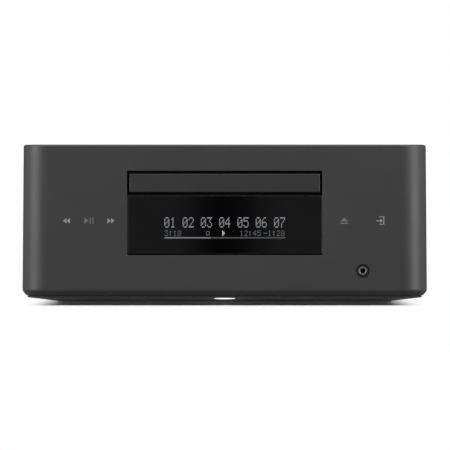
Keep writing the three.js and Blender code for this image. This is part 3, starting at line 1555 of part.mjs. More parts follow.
// Fan behind a slotted grille
function makeFan() {
  const [x, z] = placeOf("fan");
  const fanRear = rearInner - clearance.seat;
  const fanFront = fanRear - fan.depth;
  const duct = rodY(fan.boreRadius, x, z, fanFront - clearance.overrun, fanRear + clearance.overrun, steps.disc);
  const frame = prismY(roundedRect(fan.size, fan.size, fan.cornerRadius, x, z), fanFront, fanRear);
  const hubEnd = fanFront + fan.strutThickness;
  const ring = fan.size / 2 - clearance.bite;
  const struts = [
    box([x - ring, fanFront, z - fan.strutWidth / 2], [x + ring, hubEnd, z + fan.strutWidth / 2]),
    box([x - fan.strutWidth / 2, fanFront, z - ring], [x + fan.strutWidth / 2, hubEnd, z + ring]),
    rodY(fan.hubRadius, x, z, fanFront, hubEnd, steps.foot),
    rodY(fan.pinRadius, x, z, fanFront, fanRear - fan.strutThickness * 2, steps.boss),
  ];
  addPart("fan_frame", join(frame.subtract(duct), struts), finishes.black);
  const rotorStart = hubEnd + clearance.running;
  const rotorEnd = fanRear - clearance.running;
  const hub = rodY(fan.hubRadius, x, z, rotorStart, rotorEnd, steps.foot);
  const tip = fan.boreRadius - clearance.running * 2;
  const span = rotorEnd - rotorStart;
  const blades = [];
  for (let i = 0; i < fan.blades; i++) {
    const blade = new THREE.BoxGeometry(tip - fan.hubRadius / 2, span * fan.bladeLengthShare, fan.bladeThickness);
    blade.rotateX(THREE.MathUtils.degToRad(fan.bladeAngle));
    blade.translate((tip + fan.hubRadius / 2) / 2, 0, 0);
    blade.rotateY((i * Math.PI * 2) / fan.blades);
    blade.translate(x, (rotorStart + rotorEnd) / 2, z);
    blades.push(solid(blade));
  }
  const keep = rodY(tip, x, z, rotorStart, rotorEnd, steps.disc);
  const bore = rodY(fan.pinRadius + clearance.seat, x, z, rotorStart, rotorEnd - fan.strutThickness, steps.boss);
  addPart("fan_rotor", join(hub, blades).intersect(keep).subtract(bore), finishes.black);
  const grille = fan.boreRadius - fan.slotHeight / 2;
  const count = Math.floor((2 * grille) / fan.slotPitch);
  for (let i = 0; i <= count; i++) {
    const slotZ = (i - count / 2) * fan.slotPitch;
    const half = Math.sqrt(Math.max(grille * grille - slotZ * slotZ, 0));
    if (half > fan.slotHeight) {
      const slot = roundedRect(half * 2, fan.slotHeight, fan.slotHeight / 2.1, x, z + slotZ);
      panelCuts.push(prismY(slot, rearInner - fan.strutWidth, rearPlane + fan.strutWidth, 3));
    }
  }
}

// Folding aerials: a swivel base in the rear panel, and a flat rod hinged in its cheeks
function makeAerials() {
  for (const [name, side] of [["left", -1], ["right", 1]]) {
    const [shareX, z] = placeOf("antenna");
    const x = side * shareX;
    const baseEnd = rearSeat + antenna.baseHeight;
    const pinY = baseEnd + antenna.pinFromBase;
    const cheekX = antenna.cheekGap / 2;
    const cheeks = [-1, 1].map((u) => {
      const [x0, x1] = [u * cheekX, u * (cheekX + antenna.cheekThickness)].sort((a, b) => a - b);
      const slab = box(
        [x + x0, baseEnd - clearance.bite, z - antenna.cheekHalfHeight],
        [x + x1, pinY, z + antenna.cheekHalfHeight],
      );
      return join(slab, rodX(antenna.cheekHalfHeight, pinY, z, x + x0, x + x1, steps.socket));
    });
    const bearing = antenna.pinRadius + clearance.seat;
    const bore = rodX(bearing, pinY, z, x - antenna.baseRadius, x + antenna.baseRadius, steps.boss);
    const base = join(
      rodY(antenna.baseRadius, x, z, rearSeat, baseEnd, steps.foot),
      rodY(antenna.stubRadius, x, z, rearInner - antenna.stubLength, rearSeat + clearance.bite, steps.socket),
      cheeks,
    );
    addPart("aerial_base_" + name, base.subtract(bore), finishes.black);
    const stubHole = antenna.stubRadius + clearance.running;
    panelCuts.push(rodY(stubHole, x, z, rearInner - antenna.baseHeight, rearPlane + antenna.baseHeight, steps.socket));
    const eyeHalf = cheekX - clearance.running;
    const pinReach = cheekX + antenna.cheekThickness;
    const eye = rodX(antenna.eyeRadius, pinY, z, x - eyeHalf, x + eyeHalf, steps.socket);
    const pin = rodX(antenna.pinRadius, pinY, z, x - pinReach, x + pinReach, steps.boss);
    const depth = antenna.rodThickness / 2;
    const neck = box(
      [x - eyeHalf, pinY - depth * antenna.tipShare, z - antenna.rodStart - clearance.bite],
      [x + eyeHalf, pinY + depth * antenna.tipShare, z],
    );
    const wide = antenna.rodWidth / 2;
    const tip = wide * antenna.tipShare;
    const low = z - antenna.rodStart - antenna.rodLength;
    const high = z - antenna.rodStart;
    const paddle = polygon([
      [x - tip, low + tip / 2],
      [x - tip / 2, low],
      [x + tip / 2, low],
      [x + tip, low + tip / 2],
      [x + wide, high - wide / 2],
      [x + wide / 2, high],
      [x - wide / 2, high],
      [x - wide, high - wide / 2],
    ]);
    addPart("aerial_" + name, join(eye, pin, neck, prismY(paddle, pinY - depth, pinY + depth)), finishes.black);
  }
}

function makeRearPanel() {
  const height = panelTop - panelBottom;
  const outline = roundedRect(panelHalf * 2, height, clearance.bite, 0, (panelBottom + panelTop) / 2);
  const sheet = prismY(outline, rearInner, rearPlane, 2);
  addPart("rear_panel", cut(sheet, panelCuts), finishes.panel);
}

// Board with its raised components, each a box given by its corner and size as shares of the board
function boardWith(x0, x1, y0, y1, componentShares) {
  const top = boardZ + board.thickness;
  const parts = componentShares.map(([u, v, w, d, h]) => {
    const [px, py] = [x0 + u * (x1 - x0), y0 + v * (y1 - y0)];
    return box(
      [px, py, top - clearance.bite],
      [px + w * (x1 - x0), py + d * (y1 - y0), top + h * (chassisBottom - top)],
    );
  });
  return join(box([x0, y0, boardZ], [x1, y1, top]), parts);
}

// Boards, and the large components that stand on them
function makeElectronics() {
  const mainFront = boardRear - mainBoard.length;
  addPart("main_board", boardWith(-mainHalf, mainHalf, mainFront, boardRear, mainComponentShares), finishes.board);
  const powerFront = boardRear - powerBoard.length;
  const power = boardWith(-powerOuter, -powerInner, powerFront, boardRear, powerComponentShares);
  addPart("power_board", power, finishes.board);
  const ampFront = boardRear - amplifierBoard.length;
  const amplifier = boardWith(powerInner, powerOuter, ampFront, boardRear, amplifierComponentShares);
  addPart("amplifier_board", amplifier, finishes.board);
  const standZ = boardZ + board.thickness + clearance.seat;
  const powerMiddle = -(powerInner + powerOuter) / 2;
  makeTransformer(powerMiddle, boardRear - transformer.fromRear, standZ);
  const can = capacitor.radius;
  const groove = capacitor.grooveDepth;
  const grooveZ = standZ + capacitor.height - capacitor.rimHeight * 2;
  const profile = [
    [0, standZ],
    [can - groove, standZ],
    [can - groove, standZ + groove],
    [can, standZ + groove * 2],
    [can, grooveZ - groove],
    [can - groove, grooveZ],
    [can, grooveZ + groove],
    [can, standZ + capacitor.height - groove],
    [can - groove, standZ + capacitor.height],
    [0, standZ + capacitor.height],
  ];
  const canY = boardRear - transformer.fromRear + transformer.length + can;
  addPart("filter_capacitor", turnedZ(profile, powerMiddle, canY, steps.foot), finishes.black);
  const sinkX = (powerInner + powerOuter) / 2;
  const sinkWidth = powerOuter - powerInner - heatSink.sideMargin * 2;
  const sinkRear = boardRear - heatSink.fromRear;
  const sinkFront = sinkRear - heatSink.length;
  const sinkBase = box(
    [sinkX - sinkWidth / 2, sinkFront, standZ],
    [sinkX + sinkWidth / 2, sinkRear, standZ + heatSink.base],
  );
  const fins = [];
  for (let i = 0; i < heatSink.fins; i++) {
    const span = sinkWidth - heatSink.finThickness;
    const finX = sinkX - sinkWidth / 2 + (span * i) / (heatSink.fins - 1);
    fins.push(
      box([finX, sinkFront, standZ + clearance.bite], [finX + heatSink.finThickness, sinkRear, standZ + heatSink.height]),
    );
  }
  addPart("heat_sink", join(sinkBase, fins), finishes.black);
}

// Ferrite core on three limbs, with the coil round the middle one
function makeTransformer(x, y, standZ) {
  const { width, length, height, limb, coilProud } = transformer;
  const core = box([x - width / 2, y - length / 2, standZ], [x + width / 2, y + length / 2, standZ + height]);
  const coilLength = length - 2 * limb;
  const coil = prismZ(
    roundedRect(width + 2 * coilProud, coilLength + coilProud, coilProud, x, y),
    standZ + clearance.bite,
    standZ + height - limb / 2,
  );
  const top = box(
    [x - width / 2 + coilProud, y - length / 2 - coilProud / 2, standZ],
    [x + width / 2 - coilProud, y + length / 2 + coilProud / 2, standZ + limb / 2],
  );
  addPart("transformer", join(core, coil, top), finishes.steel);
}

// Touch sensor board behind the front, round the window and the headphone socket
function makeFrontBoard() {
  const front = frontInner + clearance.seat;
  const rear = front + frontBoard.thickness;
  const half = halfWidth - frontBoard.fromSide;
  const sheet = box([-half, front, frontBoard.bottom], [half, rear, cabinet.height - frontBoard.fromTop]);
  const margin = frontBoard.openingMargin;
  const around = box(
    [-opening.width / 2 - margin, front - clearance.overrun, openingBottom - margin],
    [opening.width / 2 + margin, rear + clearance.overrun, openingTop + margin],
  );
  const socketHalf = phones.bodyWidth / 2 + clearance.seat;
  const socket = box(
    [phonesX - socketHalf, front - clearance.overrun, phones.height - socketHalf],
    [phonesX + socketHalf, rear + clearance.overrun, phones.height + socketHalf],
  );
  addPart("touch_sensor_board", cut(sheet, around, socket), finishes.board);
  const bodyHalf = phones.bodyWidth / 2;
  const body = box(
    [phonesX - bodyHalf, front, phones.height - bodyHalf],
    [phonesX + bodyHalf, front + phones.bodyDepth, phones.height + bodyHalf],
  );
  const [px, pz] = [phonesX, phones.height];
  const collarFront = frontPlane + phones.collarDrop;
  const barrelFront = frontPlane + phones.barrelDrop;
  const collar = rodY(phones.holeRadius - clearance.seat, px, pz, collarFront, front + clearance.bite, steps.foot);
  const barrel = rodY(phones.barrelRadius, px, pz, barrelFront, front + clearance.bite, steps.foot);
  const bore = rodY(phones.boreRadius, px, pz, barrelFront - clearance.overrun, barrelFront + phones.boreDepth);
  addPart("headphone_socket", join(body, collar, barrel).subtract(bore), finishes.steel);
}

makeCabinet();
makeTop();
makePan();
makeFeet();
makeWindow();
makeTray();
makeChassis();
makeClamp();
makeTraverse();
makeCam();
makeLoadingDrive();
makeBrackets();
makeTerminals();
makeRca();
makeOptical();
makeDataSockets();
makeInlet();
makeAerialSocket();
makeFan();
makeAerials();
makeRearPanel();
makeElectronics();
makeFrontBoard();

export default receiver;
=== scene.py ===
import math
import bpy
import bmesh
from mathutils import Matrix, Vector


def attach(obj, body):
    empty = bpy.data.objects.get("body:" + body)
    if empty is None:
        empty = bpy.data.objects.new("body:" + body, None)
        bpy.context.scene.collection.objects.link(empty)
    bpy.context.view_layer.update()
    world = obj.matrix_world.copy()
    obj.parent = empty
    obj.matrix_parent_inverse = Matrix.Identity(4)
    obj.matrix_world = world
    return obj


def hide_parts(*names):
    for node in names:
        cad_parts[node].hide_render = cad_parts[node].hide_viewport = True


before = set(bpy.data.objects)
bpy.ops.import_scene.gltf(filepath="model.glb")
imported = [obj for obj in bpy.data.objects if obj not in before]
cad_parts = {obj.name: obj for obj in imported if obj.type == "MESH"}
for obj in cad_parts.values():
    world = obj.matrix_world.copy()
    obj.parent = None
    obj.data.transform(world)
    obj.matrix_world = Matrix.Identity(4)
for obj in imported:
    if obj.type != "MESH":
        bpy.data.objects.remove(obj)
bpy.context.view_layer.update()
scene = bpy.context.scene
mm = 0.001
print("frame loaded:", len(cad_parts), "solids")


def placed(name, data):
    obj = bpy.data.objects.new(name, data)
    scene.collection.objects.link(obj)
    return obj


# the photograph's view: straight on, a little above the middle of the front
view = {"distance": 4151.5, "aside": 0.2, "height": 55.5, "lens": 464.2, "sensor": 36.0}
view |= {"near": 0.05, "far": 60.0}

cameraData = bpy.data.cameras.new("photo_camera")
cameraData.lens = view["lens"]
cameraData.sensor_width = view["sensor"]
cameraData.clip_start = view["near"]
cameraData.clip_end = view["far"]
camera = placed("photo_camera", cameraData)
camera.location = (view["aside"] * mm, -view["distance"] * mm, view["height"] * mm)
camera.rotation_euler = (math.radians(90), 0.0, 0.0)
scene.camera = camera


# node trees and finishes


def maths(operation, turned=False):
    # what an operator of a Wire does: it adds this Math node, with its two values turned round or not
    def act(self, other=0.0):
        node = self.tree.nodes.new("ShaderNodeMath")
        node.operation = operation
        for place, value in zip(node.inputs, (other, self) if turned else (self, other)):
            if isinstance(value, Wire):
                self.tree.links.new(value.socket, place)
            else:
                place.default_value = value
        return Wire(self.tree, node.outputs[0])

    return act


class Wire:  # one socket of a node tree; a sum written with wires adds its Math nodes
    def __init__(self, tree, socket):
        self.tree = tree
        self.socket = socket

    __add__, __radd__ = maths("ADD"), maths("ADD", True)
    __sub__, __rsub__ = maths("SUBTRACT"), maths("SUBTRACT", True)
    __mul__, __rmul__ = maths("MULTIPLY"), maths("MULTIPLY", True)
    __truediv__, __pow__, __lt__ = maths("DIVIDE"), maths("POWER"), maths("LESS_THAN")
    size, most = maths("ABSOLUTE"), maths("MAXIMUM")


class Nodes:  # a node tree that is being built; place is the coordinates that it reads
    def __init__(self, tree):
        self.tree = tree
        tree.nodes.clear()

    def add(self, kind, settings=None, inputs=None, out=0):
        node = self.tree.nodes.new(kind)
        for key, value in (settings or {}).items():
            setattr(node, key, value)
        for key, value in (inputs or {}).items():
            if isinstance(value, Wire):
                self.tree.links.new(value.socket, node.inputs[key])
            else:
                node.inputs[key].default_value = value
        return Wire(self.tree, node.outputs[out]) if len(node.outputs) else node

    def axis(self, letter):
        return self.add("ShaderNodeSeparateXYZ", {}, {"Vector": self.place}, out="XYZ".index(letter))

    def limit(self, value, low, high, newLow=0.0, newHigh=1.0):
        return self.add(
            "ShaderNodeMapRange",
            {"interpolation_type": "SMOOTHSTEP"},
            {"Value": value, "From Min": low, "From Max": high, "To Min": newLow, "To Max": newHigh},
        )

    def ray(self, kind):
        return self.add("ShaderNodeLightPath", out="Is " + kind + " Ray")


def grey(value):
    return (value, value, value, 1.0)


def shade(colour, times, plus=0.0):
    return tuple(min(c * times + plus, 1.0) for c in colour) + (1.0,)


def spaced(inputs):
    # Base_Color stands for the socket Base Color
    return {key.replace("_", " "): value for key, value in inputs.items()}


class Finish(Nodes):  # a material, read from the piece's own object coordinates
    def __init__(self, name):
        self.material = bpy.data.materials.new(name)
        self.material.use_nodes = True
        super().__init__(self.material.node_tree)
        self.place = self.add("ShaderNodeTexCoord", out="Object")

    def noise(self, size, detail=3.0, roughness=0.55, place=None):
        # size is the width of a blotch in millimetres
        inputs = {"Vector": place or self.place, "Scale": 1 / (size * mm)}
        inputs |= {"Detail": detail, "Roughness": roughness}
        return self.add("ShaderNodeTexNoise", {"noise_dimensions": "3D"}, inputs, out="Fac")

    def mixed(self, share, first, second):
        settings = {"data_type": "RGBA", "clamp_factor": True}
        return self.add("ShaderNodeMix", settings, {0: share, 6: first, 7: second}, out=2)

    def patches(self, wire, first, second):
        # a noise spread over two colours
        return self.mixed(self.limit(wire, 0.3, 0.7), first, second)

    def worn(self):
        # bevelled edges carry the wear attribute; a noise breaks it up
        edge = self.add("ShaderNodeAttribute", {"attribute_name": "wear"}, out="Fac")
        return edge * self.limit(self.noise(2.5, 4.0, 0.65), 0.42, 0.62)

    def bump(self, height, depth, strength=1.0):
        # depth is the height of the relief in millimetres
        inputs = {"Height": height, "Distance": depth * mm, "Strength": strength}
        return self.add("ShaderNodeBump", {}, inputs)

    def surface(self, **sockets):
        shader = self.add("ShaderNodeBsdfPrincipled", {}, spaced(sockets))
        self.add("ShaderNodeOutputMaterial", {}, {"Surface": shader})
        return self.material


def moulded(name, colour, rough, grain=0.3, relief=0.012, blotch=24.0, spread=0.12, wear=0.35, **more):
    # a moulded or painted skin: faint blotches, a fine grain, and edges rubbed a little lighter
    skin = Finish(name)
    cloud = skin.noise(blotch, 3.0)
    fine = skin.noise(grain, 3.0, 0.6)
    tone = skin.patches(cloud, shade(colour, 1 - spread), shade(colour, 1 + spread))
    worn = skin.worn()
    tone = skin.mixed(worn * wear, tone, shade(colour, 2.2, 0.02))
    gloss = rough + (cloud - 0.5) * rough * 0.35 + (fine - 0.5) * rough * 0.3 - worn * rough * 0.3
    return skin.surface(Base_Color=tone, Roughness=gloss, Normal=skin.bump(fine, relief), **more)


def metal(name, colour, rough, grain=(1.0, 1.0, 1.0), size=0.25):
    # bare or plated metal: streaks along the grain, and dull and bright patches
    skin = Finish(name)
    stretched = skin.add("ShaderNodeMapping", {}, {"Vector": skin.place, "Scale": grain})
    streak = skin.noise(size, 4.0, 0.6, stretched)
    cloud = skin.noise(9.0, 3.0)
    tone = skin.patches(streak * 0.6 + cloud * 0.4, shade(colour, 0.82), shade(colour, 1.12))
    worn = skin.worn()
    tone = skin.mixed(worn * 0.5, tone, shade(colour, 1.3, 0.05))
    gloss = rough + (streak - 0.5) * rough * 0.7 + (cloud - 0.5) * rough * 0.4 - worn * rough * 0.3
    return skin.surface(Base_Color=tone, Roughness=gloss, Metallic=1.0, Normal=skin.bump(streak, 0.003))


def polishedBlack():
    # smoked acrylic: nearly black, with a trace of haze and the faintest ripple
    skin = Finish("smoked_acrylic")
    haze = skin.noise(30.0, 3.0)
    dust = skin.limit(skin.noise(0.6, 2.0), 0.68, 0.8)
    worn = skin.worn()
    tone = skin.patches(haze, grey(0.0009), grey(0.0016))
    tone = skin.mixed(dust * 0.12 + worn * 0.35, tone, grey(0.03))
    gloss = 0.02 + haze * 0.012 + dust * 0.05 + worn * 0.15
    return skin.surface(Base_Color=tone, Roughness=gloss, Normal=skin.bump(haze, 0.003, 0.3), IOR=1.49)


# the white light in the skirt, and the scoop round it
lens = {"halfWidth": 7.3, "halfLength": 3.6, "y": -141.3, "proud": 0.1, "top": 6.3, "margin": 1.9}
# dome is (growth, lift) of its rings
lens |= {"wide": 1.6, "dish": 0.45, "bore": 0.28, "dome": [(-2.0, 0), (-0.7, 0.02), (-0.25, 0.1), (0.0, 0.32)]}


def litLens():
    # white diffuser over a lamp, brightest in the middle
    skin = Finish("lens_lit")
    x, y = skin.axis("X"), skin.axis("Y")
    away = (x / (lens["halfWidth"] * mm)) ** 2.0 + ((y - lens["y"] * mm) / (lens["halfLength"] * mm)) ** 2.0
    glow = skin.limit(away + (skin.noise(0.8) - 0.5) * 0.12, 0.45, 1.0, 1.0, 0.72)
    return skin.surface(
        Base_Color=(0.8, 0.82, 0.84, 1.0),
        Roughness=0.35 + skin.noise(0.4) * 0.1,
        Normal=skin.bump(skin.noise(0.3), 0.004),
        Emission_Color=skin.mixed(glow, (0.5, 0.53, 0.56, 1.0), (0.95, 0.98, 1.0, 1.0)),
        Emission_Strength=0.9,
    )


def litDots(name, colour):
    # display dots, each a little uneven as on a real module
    skin = Finish(name)
    uneven = skin.noise(0.9, 2.0)
    return skin.surface(
        Base_Color=grey(0.02),
        Roughness=0.4 + uneven * 0.1,
        Normal=skin.bump(uneven, 0.002),
        Emission_Color=skin.patches(uneven, shade(colour, 0.8), shade(colour, 1.0)),
        Emission_Strength=1.0,
    )


componentColours = {
    "chip": (0.012, 0.012, 0.013),
    "film": (0.42, 0.25, 0.05),
    "relay": (0.02, 0.05, 0.16),
    "shield": (0.4, 0.41, 0.42),
    "header": (0.5, 0.48, 0.42),
}
# on each board: middle x, y, half width, half length and kind
components = {
    "plain": [],
    "main": [
        (-11.2, -1.0, 11.2, 11.4, "chip"),
        (20.2, -6.7, 6.8, 9.5, "chip"),
        (-33.6, 36.1, 9.0, 6.7, "chip"),
        (-30.2, -41.8, 14.6, 4.8, "header"),
        (25.8, -45.6, 14.6, 4.8, "header"),
        (7.8, 63.6, 16.8, 15.2, "shield"),
        (-30.2, 92.1, 10.1, 9.5, "relay"),
        (35.8, 46.5, 4.5, 11.4, "film"),
    ],
    "power": [
        (-113.3, -23.0, 8.4, 8.3, "relay"),
        (-89.3, -23.0, 8.4, 5.0, "film"),
        (-115.0, 71.1, 7.9, 6.6, "film"),
        (-88.2, 71.9, 9.0, 4.2, "chip"),
        (-100.4, 95.8, 11.2, 5.0, "header"),
    ],
    "amplifier": [
        (85.9, 11.4, 6.8, 6.0, "film"),
        (112.7, 11.4, 6.8, 6.0, "film"),
        (100.4, 96.6, 11.2, 4.9, "header"),
        (85.9, 109.8, 6.8, 3.7, "relay"),
    ],
    "display": [(0.0, -146.65, 47.8, 1.05, "chip")],
}
boardTop = 0.01542  # metres
wallRoom = 0.12  # the walls of a component lie this far inside the box that is tested


def circuitBoard(kind):
    # green solder mask with tracks and pads; what stands on the board takes the colours of components
    skin = Finish("board_" + kind)
    cells = {"Vector": skin.place, "Scale": 220.0, "Mortar Size": 0.06, "Mortar Smooth": 0.1}
    track = skin.add("ShaderNodeTexBrick", {"offset": 0.5, "squash": 1.0}, cells, out="Fac")
    cells = {"Vector": skin.place, "Scale": 260.0, "Randomness": 0.35}
    pads = skin.add("ShaderNodeTexVoronoi", {"feature": "F1"}, cells, out="Distance")
    pad = 1.0 - skin.limit(pads, 0.16, 0.2)
    tone = skin.patches(skin.noise(14.0), (0.01, 0.085, 0.032, 1.0), (0.014, 0.12, 0.046, 1.0))
    tone = skin.mixed(track, tone, (0.03, 0.2, 0.085, 1.0))
    tone = skin.mixed(pad, tone, (0.62, 0.6, 0.55, 1.0))
    x, y, bare = skin.axis("X"), skin.axis("Y"), 1.0
    above = skin.limit(skin.axis("Z"), boardTop, boardTop + 0.03 * mm)
    cloud = skin.noise(4.0, 3.0)
    for middleX, middleY, halfX, halfY, sort in components[kind]:
        insideX = (x - middleX * mm).size() < (halfX + wallRoom) * mm
        inside = insideX * ((y - middleY * mm).size() < (halfY + wallRoom) * mm)
        colour = componentColours[sort]
        tone = skin.mixed(inside * above, tone, skin.mixed(cloud, shade(colour, 0.85), shade(colour, 1.15)))
        bare = bare * (1.0 - inside * above)
    rough = 0.42 + (skin.noise(2.0) - 0.5) * 0.25
    return skin.surface(Base_Color=tone, Roughness=rough, Normal=skin.bump((track + pad) * bare, 0.03))


def woundCore():
    # dark ferrite with a copper coil between its limbs
    skin = Finish("transformer")
    middle = 1.0 - skin.limit((skin.axis("Y") - 0.0126).size(), 0.0098, 0.0102)
    turn = skin.add(
        "ShaderNodeTexWave",
        {"wave_type": "BANDS", "bands_direction": "Z", "wave_profile": "SIN"},
        {"Vector": skin.place, "Scale": 420.0, "Distortion": 0.0},
        out="Fac",
    )
    copper = skin.mixed(turn, (0.16, 0.05, 0.015, 1.0), (0.55, 0.22, 0.08, 1.0))
    tone = skin.mixed(middle, skin.mixed(skin.noise(1.2), grey(0.012), grey(0.03)), copper)
    rough = 0.36 + skin.noise(2.0) * 0.2
    return skin.surface(Base_Color=tone, Roughness=rough, Normal=skin.bump(turn * middle, 0.08))


matt = {"Specular_IOR_Level": 0.12}
clear = {"IOR": 1.6, "Coat_Weight": 0.6, "Coat_Roughness": 0.03}
finishes = {
    # name, colour, roughness, then grain, relief and blotch in millimetres, spread and wear
    "housing": moulded("housing_black", (0.0248, 0.0248, 0.0253), 0.45, 0.22, 0.009, 40.0, 0.06, 0.25),
    "door": moulded("door_satin", (0.0175, 0.0175, 0.018), 0.37, 0.3, 0.005, 30.0, 0.06, 0.3),
    "gloss": polishedBlack(),
    "inner": moulded("inner_black", (0.02, 0.02, 0.021), 0.5, 0.4, 0.02, 14.0, 0.15, 0.35),
    # pan and rim are one plastic in two tones: the pan's lighter grey is painted light for light bounced up
    # from the floor, and the rim's darker grey is painted shade
    "pan": moulded("base_grey", (0.18, 0.18, 0.182), 0.5, 0.35, 0.014, 30.0, 0.1, 0.3),
    "rim": moulded("rim_grey", (0.05, 0.05, 0.051), 0.5, 0.35, 0.014, 30.0, 0.1, 0.3),
    "socket": moulded("socket_black", (0.016, 0.016, 0.017), 0.42, 0.25, 0.008, 8.0, 0.12, 0.4),
    "capRed": moulded("cap_red", (0.33, 0.012, 0.012), 0.3, 0.4, 0.004, 5.0, 0.14, 0.25),
    "capBlack": moulded("cap_black", (0.017, 0.017, 0.018), 0.3, 0.4, 0.004, 5.0, 0.14, 0.4),
    "ringRed": moulded("ring_red", (0.36, 0.014, 0.012), 0.34, 0.3, 0.004, 4.0, 0.1, 0.2),
    "ringWhite": moulded("ring_white", (0.62, 0.61, 0.58), 0.34, 0.3, 0.004, 4.0, 0.05, 0.1),
    "panel": moulded("panel_paint", (0.021, 0.021, 0.0225), 0.46, 0.55, 0.018, 26.0, 0.1, 0.5),
    "rubber": moulded("foot_rubber", (0.017, 0.017, 0.017), 0.72, 0.5, 0.03, 7.0, 0.2, 0.5),
    "acetal": moulded("acetal", (0.66, 0.65, 0.61), 0.42, 0.6, 0.005, 6.0, 0.05, 0.1),
    # recess: near-black and matt, painted shade for the insides of openings and holes and for the bezel seen
    # through the gaps
    "recess": moulded("recess_black", (0.0012, 0.0012, 0.0012), 0.7, 0.5, 0.01, 9.0, 0.2, 0.0, **matt),
    "belt": moulded("belt_rubber", (0.013, 0.013, 0.013), 0.6, 0.3, 0.02, 6.0, 0.2, 0.3),
    "print": moulded("printed_grey", (0.24, 0.24, 0.245), 0.5, 0.35, 0.003, 3.0, 0.1, 0.0),
    "printFaint": moulded("printed_faint", (0.13, 0.13, 0.133), 0.5, 0.35, 0.003, 3.0, 0.1, 0.0),
    "steel": metal("bright_steel", (0.52, 0.53, 0.54), 0.3, (1.0, 0.06, 1.0), 0.3),
    "nickel": metal("nickel", (0.6, 0.59, 0.57), 0.22),
    "gold": metal("gold_plate", (0.72, 0.5, 0.2), 0.24),
    "screw": metal("screw_black", (0.07, 0.07, 0.072), 0.34),
    "sleeve": metal("jack_sleeve", (0.17, 0.17, 0.17), 0.36),
    "anodised": metal("anodised_black", (0.06, 0.06, 0.064), 0.38, (0.05, 1.0, 1.0), 0.4),
    "lensGlass": moulded("pickup_lens", (0.05, 0.07, 0.16), 0.06, 0.6, 0.001, 3.0, 0.1, 0.0, **clear),
    "lens": litLens(),
    "dots": litDots("dots_lit", (0.31, 0.33, 0.35)),
    "dotsSmall": litDots("dots_small", (0.135, 0.145, 0.155)),
    "dotsBright": litDots("dots_bright", (0.5, 0.52, 0.54)),
    "dotsDim": litDots("dots_dim", (0.032, 0.034, 0.037)),
    "coil": woundCore(),
}
finishes |= {"board " + kind: circuitBoard(kind) for kind in components}
print("finishes made:", len(finishes))


# shapes, all in millimetres


def toSpace(u, v, axis, along):
    # a flat point and its place along the axis, as a point of the frame
    return {"x": (along, u, v), "y": (u, along, v), "z": (u, v, along)}[axis]


def circle(centre, radius, steps=48, start=0.0, sweep=360.0):
    # a full circle, or the points of an arc with both its ends
    angles = [math.radians(start + sweep * k / steps) for k in range(steps + (sweep < 360))]
    return [(centre[0] + radius * math.cos(a), centre[1] + radius * math.sin(a)) for a in angles]


def rounded(low, high, radius, steps=6):
    # a rectangle with round corners, anticlockwise from its low right corner
    points = []
    for x, y, start in ((high[0], low[1], 270), (*high, 0), (low[0], high[1], 90), (*low, 180)):
        cx = x - radius if x == high[0] else x + radius
        cy = y - radius if y == high[1] else y + radius
        points += circle((cx, cy), radius, steps, start, 90)
    return points


def tile(centre, half, radius, steps=6):
    # the same round its middle
    (u, v), (w, h) = centre, half
    return rounded((u - w, v - h), (u + w, v + h), radius, steps)


def mirrored(points, x=0.0, z=0.0):
    # an outline from its right half, which runs upwards
    return [(x + u, z + v) for u, v in points] + [(x - u, z + v) for u, v in reversed(points)]


def planLoop(half, frontY, rearY, frontRadius, rearRadius):
    # the closed outline of a plate seen from above, with large front corners
    points = []
    for x, y, radius, steps, start in (
        (-half + frontRadius, frontY + frontRadius, frontRadius, 28, 180),
        (half - frontRadius, frontY + frontRadius, frontRadius, 28, 270),
        (half - rearRadius, rearY - rearRadius, rearRadius, 5, 0),
        (-half + rearRadius, rearY - rearRadius, rearRadius, 5, 90),
    ):
        points += circle((x, y), radius, steps, start, 90)
    return points


class Shape:  # points, and faces that each name one of the piece's finishes
    def __init__(self):
        self.points, self.faces, self.paints = [], [], []

    def add(self, points, faces, paint=0):
        start = len(self.points)
        self.points += points
        self.faces += [tuple(start + i for i in face) for face in faces]
        self.paints += [paint] * len(faces)
        return self

    def block(self, low, high, paint=0):
        corners = [(x, y, z) for z in (low[2], high[2]) for y in (low[1], high[1]) for x in (low[0], high[0])]
        sides = [(0, 2, 3, 1), (4, 5, 7, 6), (0, 1, 5, 4), (2, 6, 7, 3), (0, 4, 6, 2), (1, 3, 7, 5)]
        return self.add(corners, sides, paint)

    def loft(self, rings, paint=0, loop=False):
        # rings of as many points as each other; loop closes the last on the first
        count = len(rings[0])
        faces = []
        for r in range(len(rings) if loop else len(rings) - 1):
            a, b = r * count, (r + 1) % len(rings) * count
            faces += [(a + i, a + (i + 1) % count, b + (i + 1) % count, b + i) for i in range(count)]
        if not loop:
            last = count * len(rings)
            faces += [tuple(reversed(range(count))), tuple(range(last - count, last))]
        return self.add([p for ring in rings for p in ring], faces, paint)

    def prism(self, outline, axis, start, end, paint=0):
        return self.loft([[toSpace(*p, axis, along) for p in outline] for along in (start, end)], paint)

    def bar(self, low, high, axis, start, end, paint=0):
        return self.prism([low, (high[0], low[1]), high, (low[0], high[1])], axis, start, end, paint)

    def tube(self, outer, inner, start, end, paint=0):
        # a straight tube along y
        ends = ((outer, start), (outer, end), (inner, end), (inner, start))
        return self.loft([[toSpace(*p, "y", y) for p in outline] for outline, y in ends], paint, True)

    def turned(self, profile, centre, axis, steps=48, paint=0, loop=False):
        # profile is (radius, place along the axis); its points on the axis are merged later
        turns = [2 * math.pi * k / steps for k in range(steps)]
        rings = []
        for radius, along in profile:
            r = max(radius, 0.0005)
            flat = [(centre[0] + r * math.cos(a), centre[1] + r * math.sin(a)) for a in turns]
            rings.append([toSpace(*p, axis, along) for p in flat])
        return self.loft(rings, paint, loop)


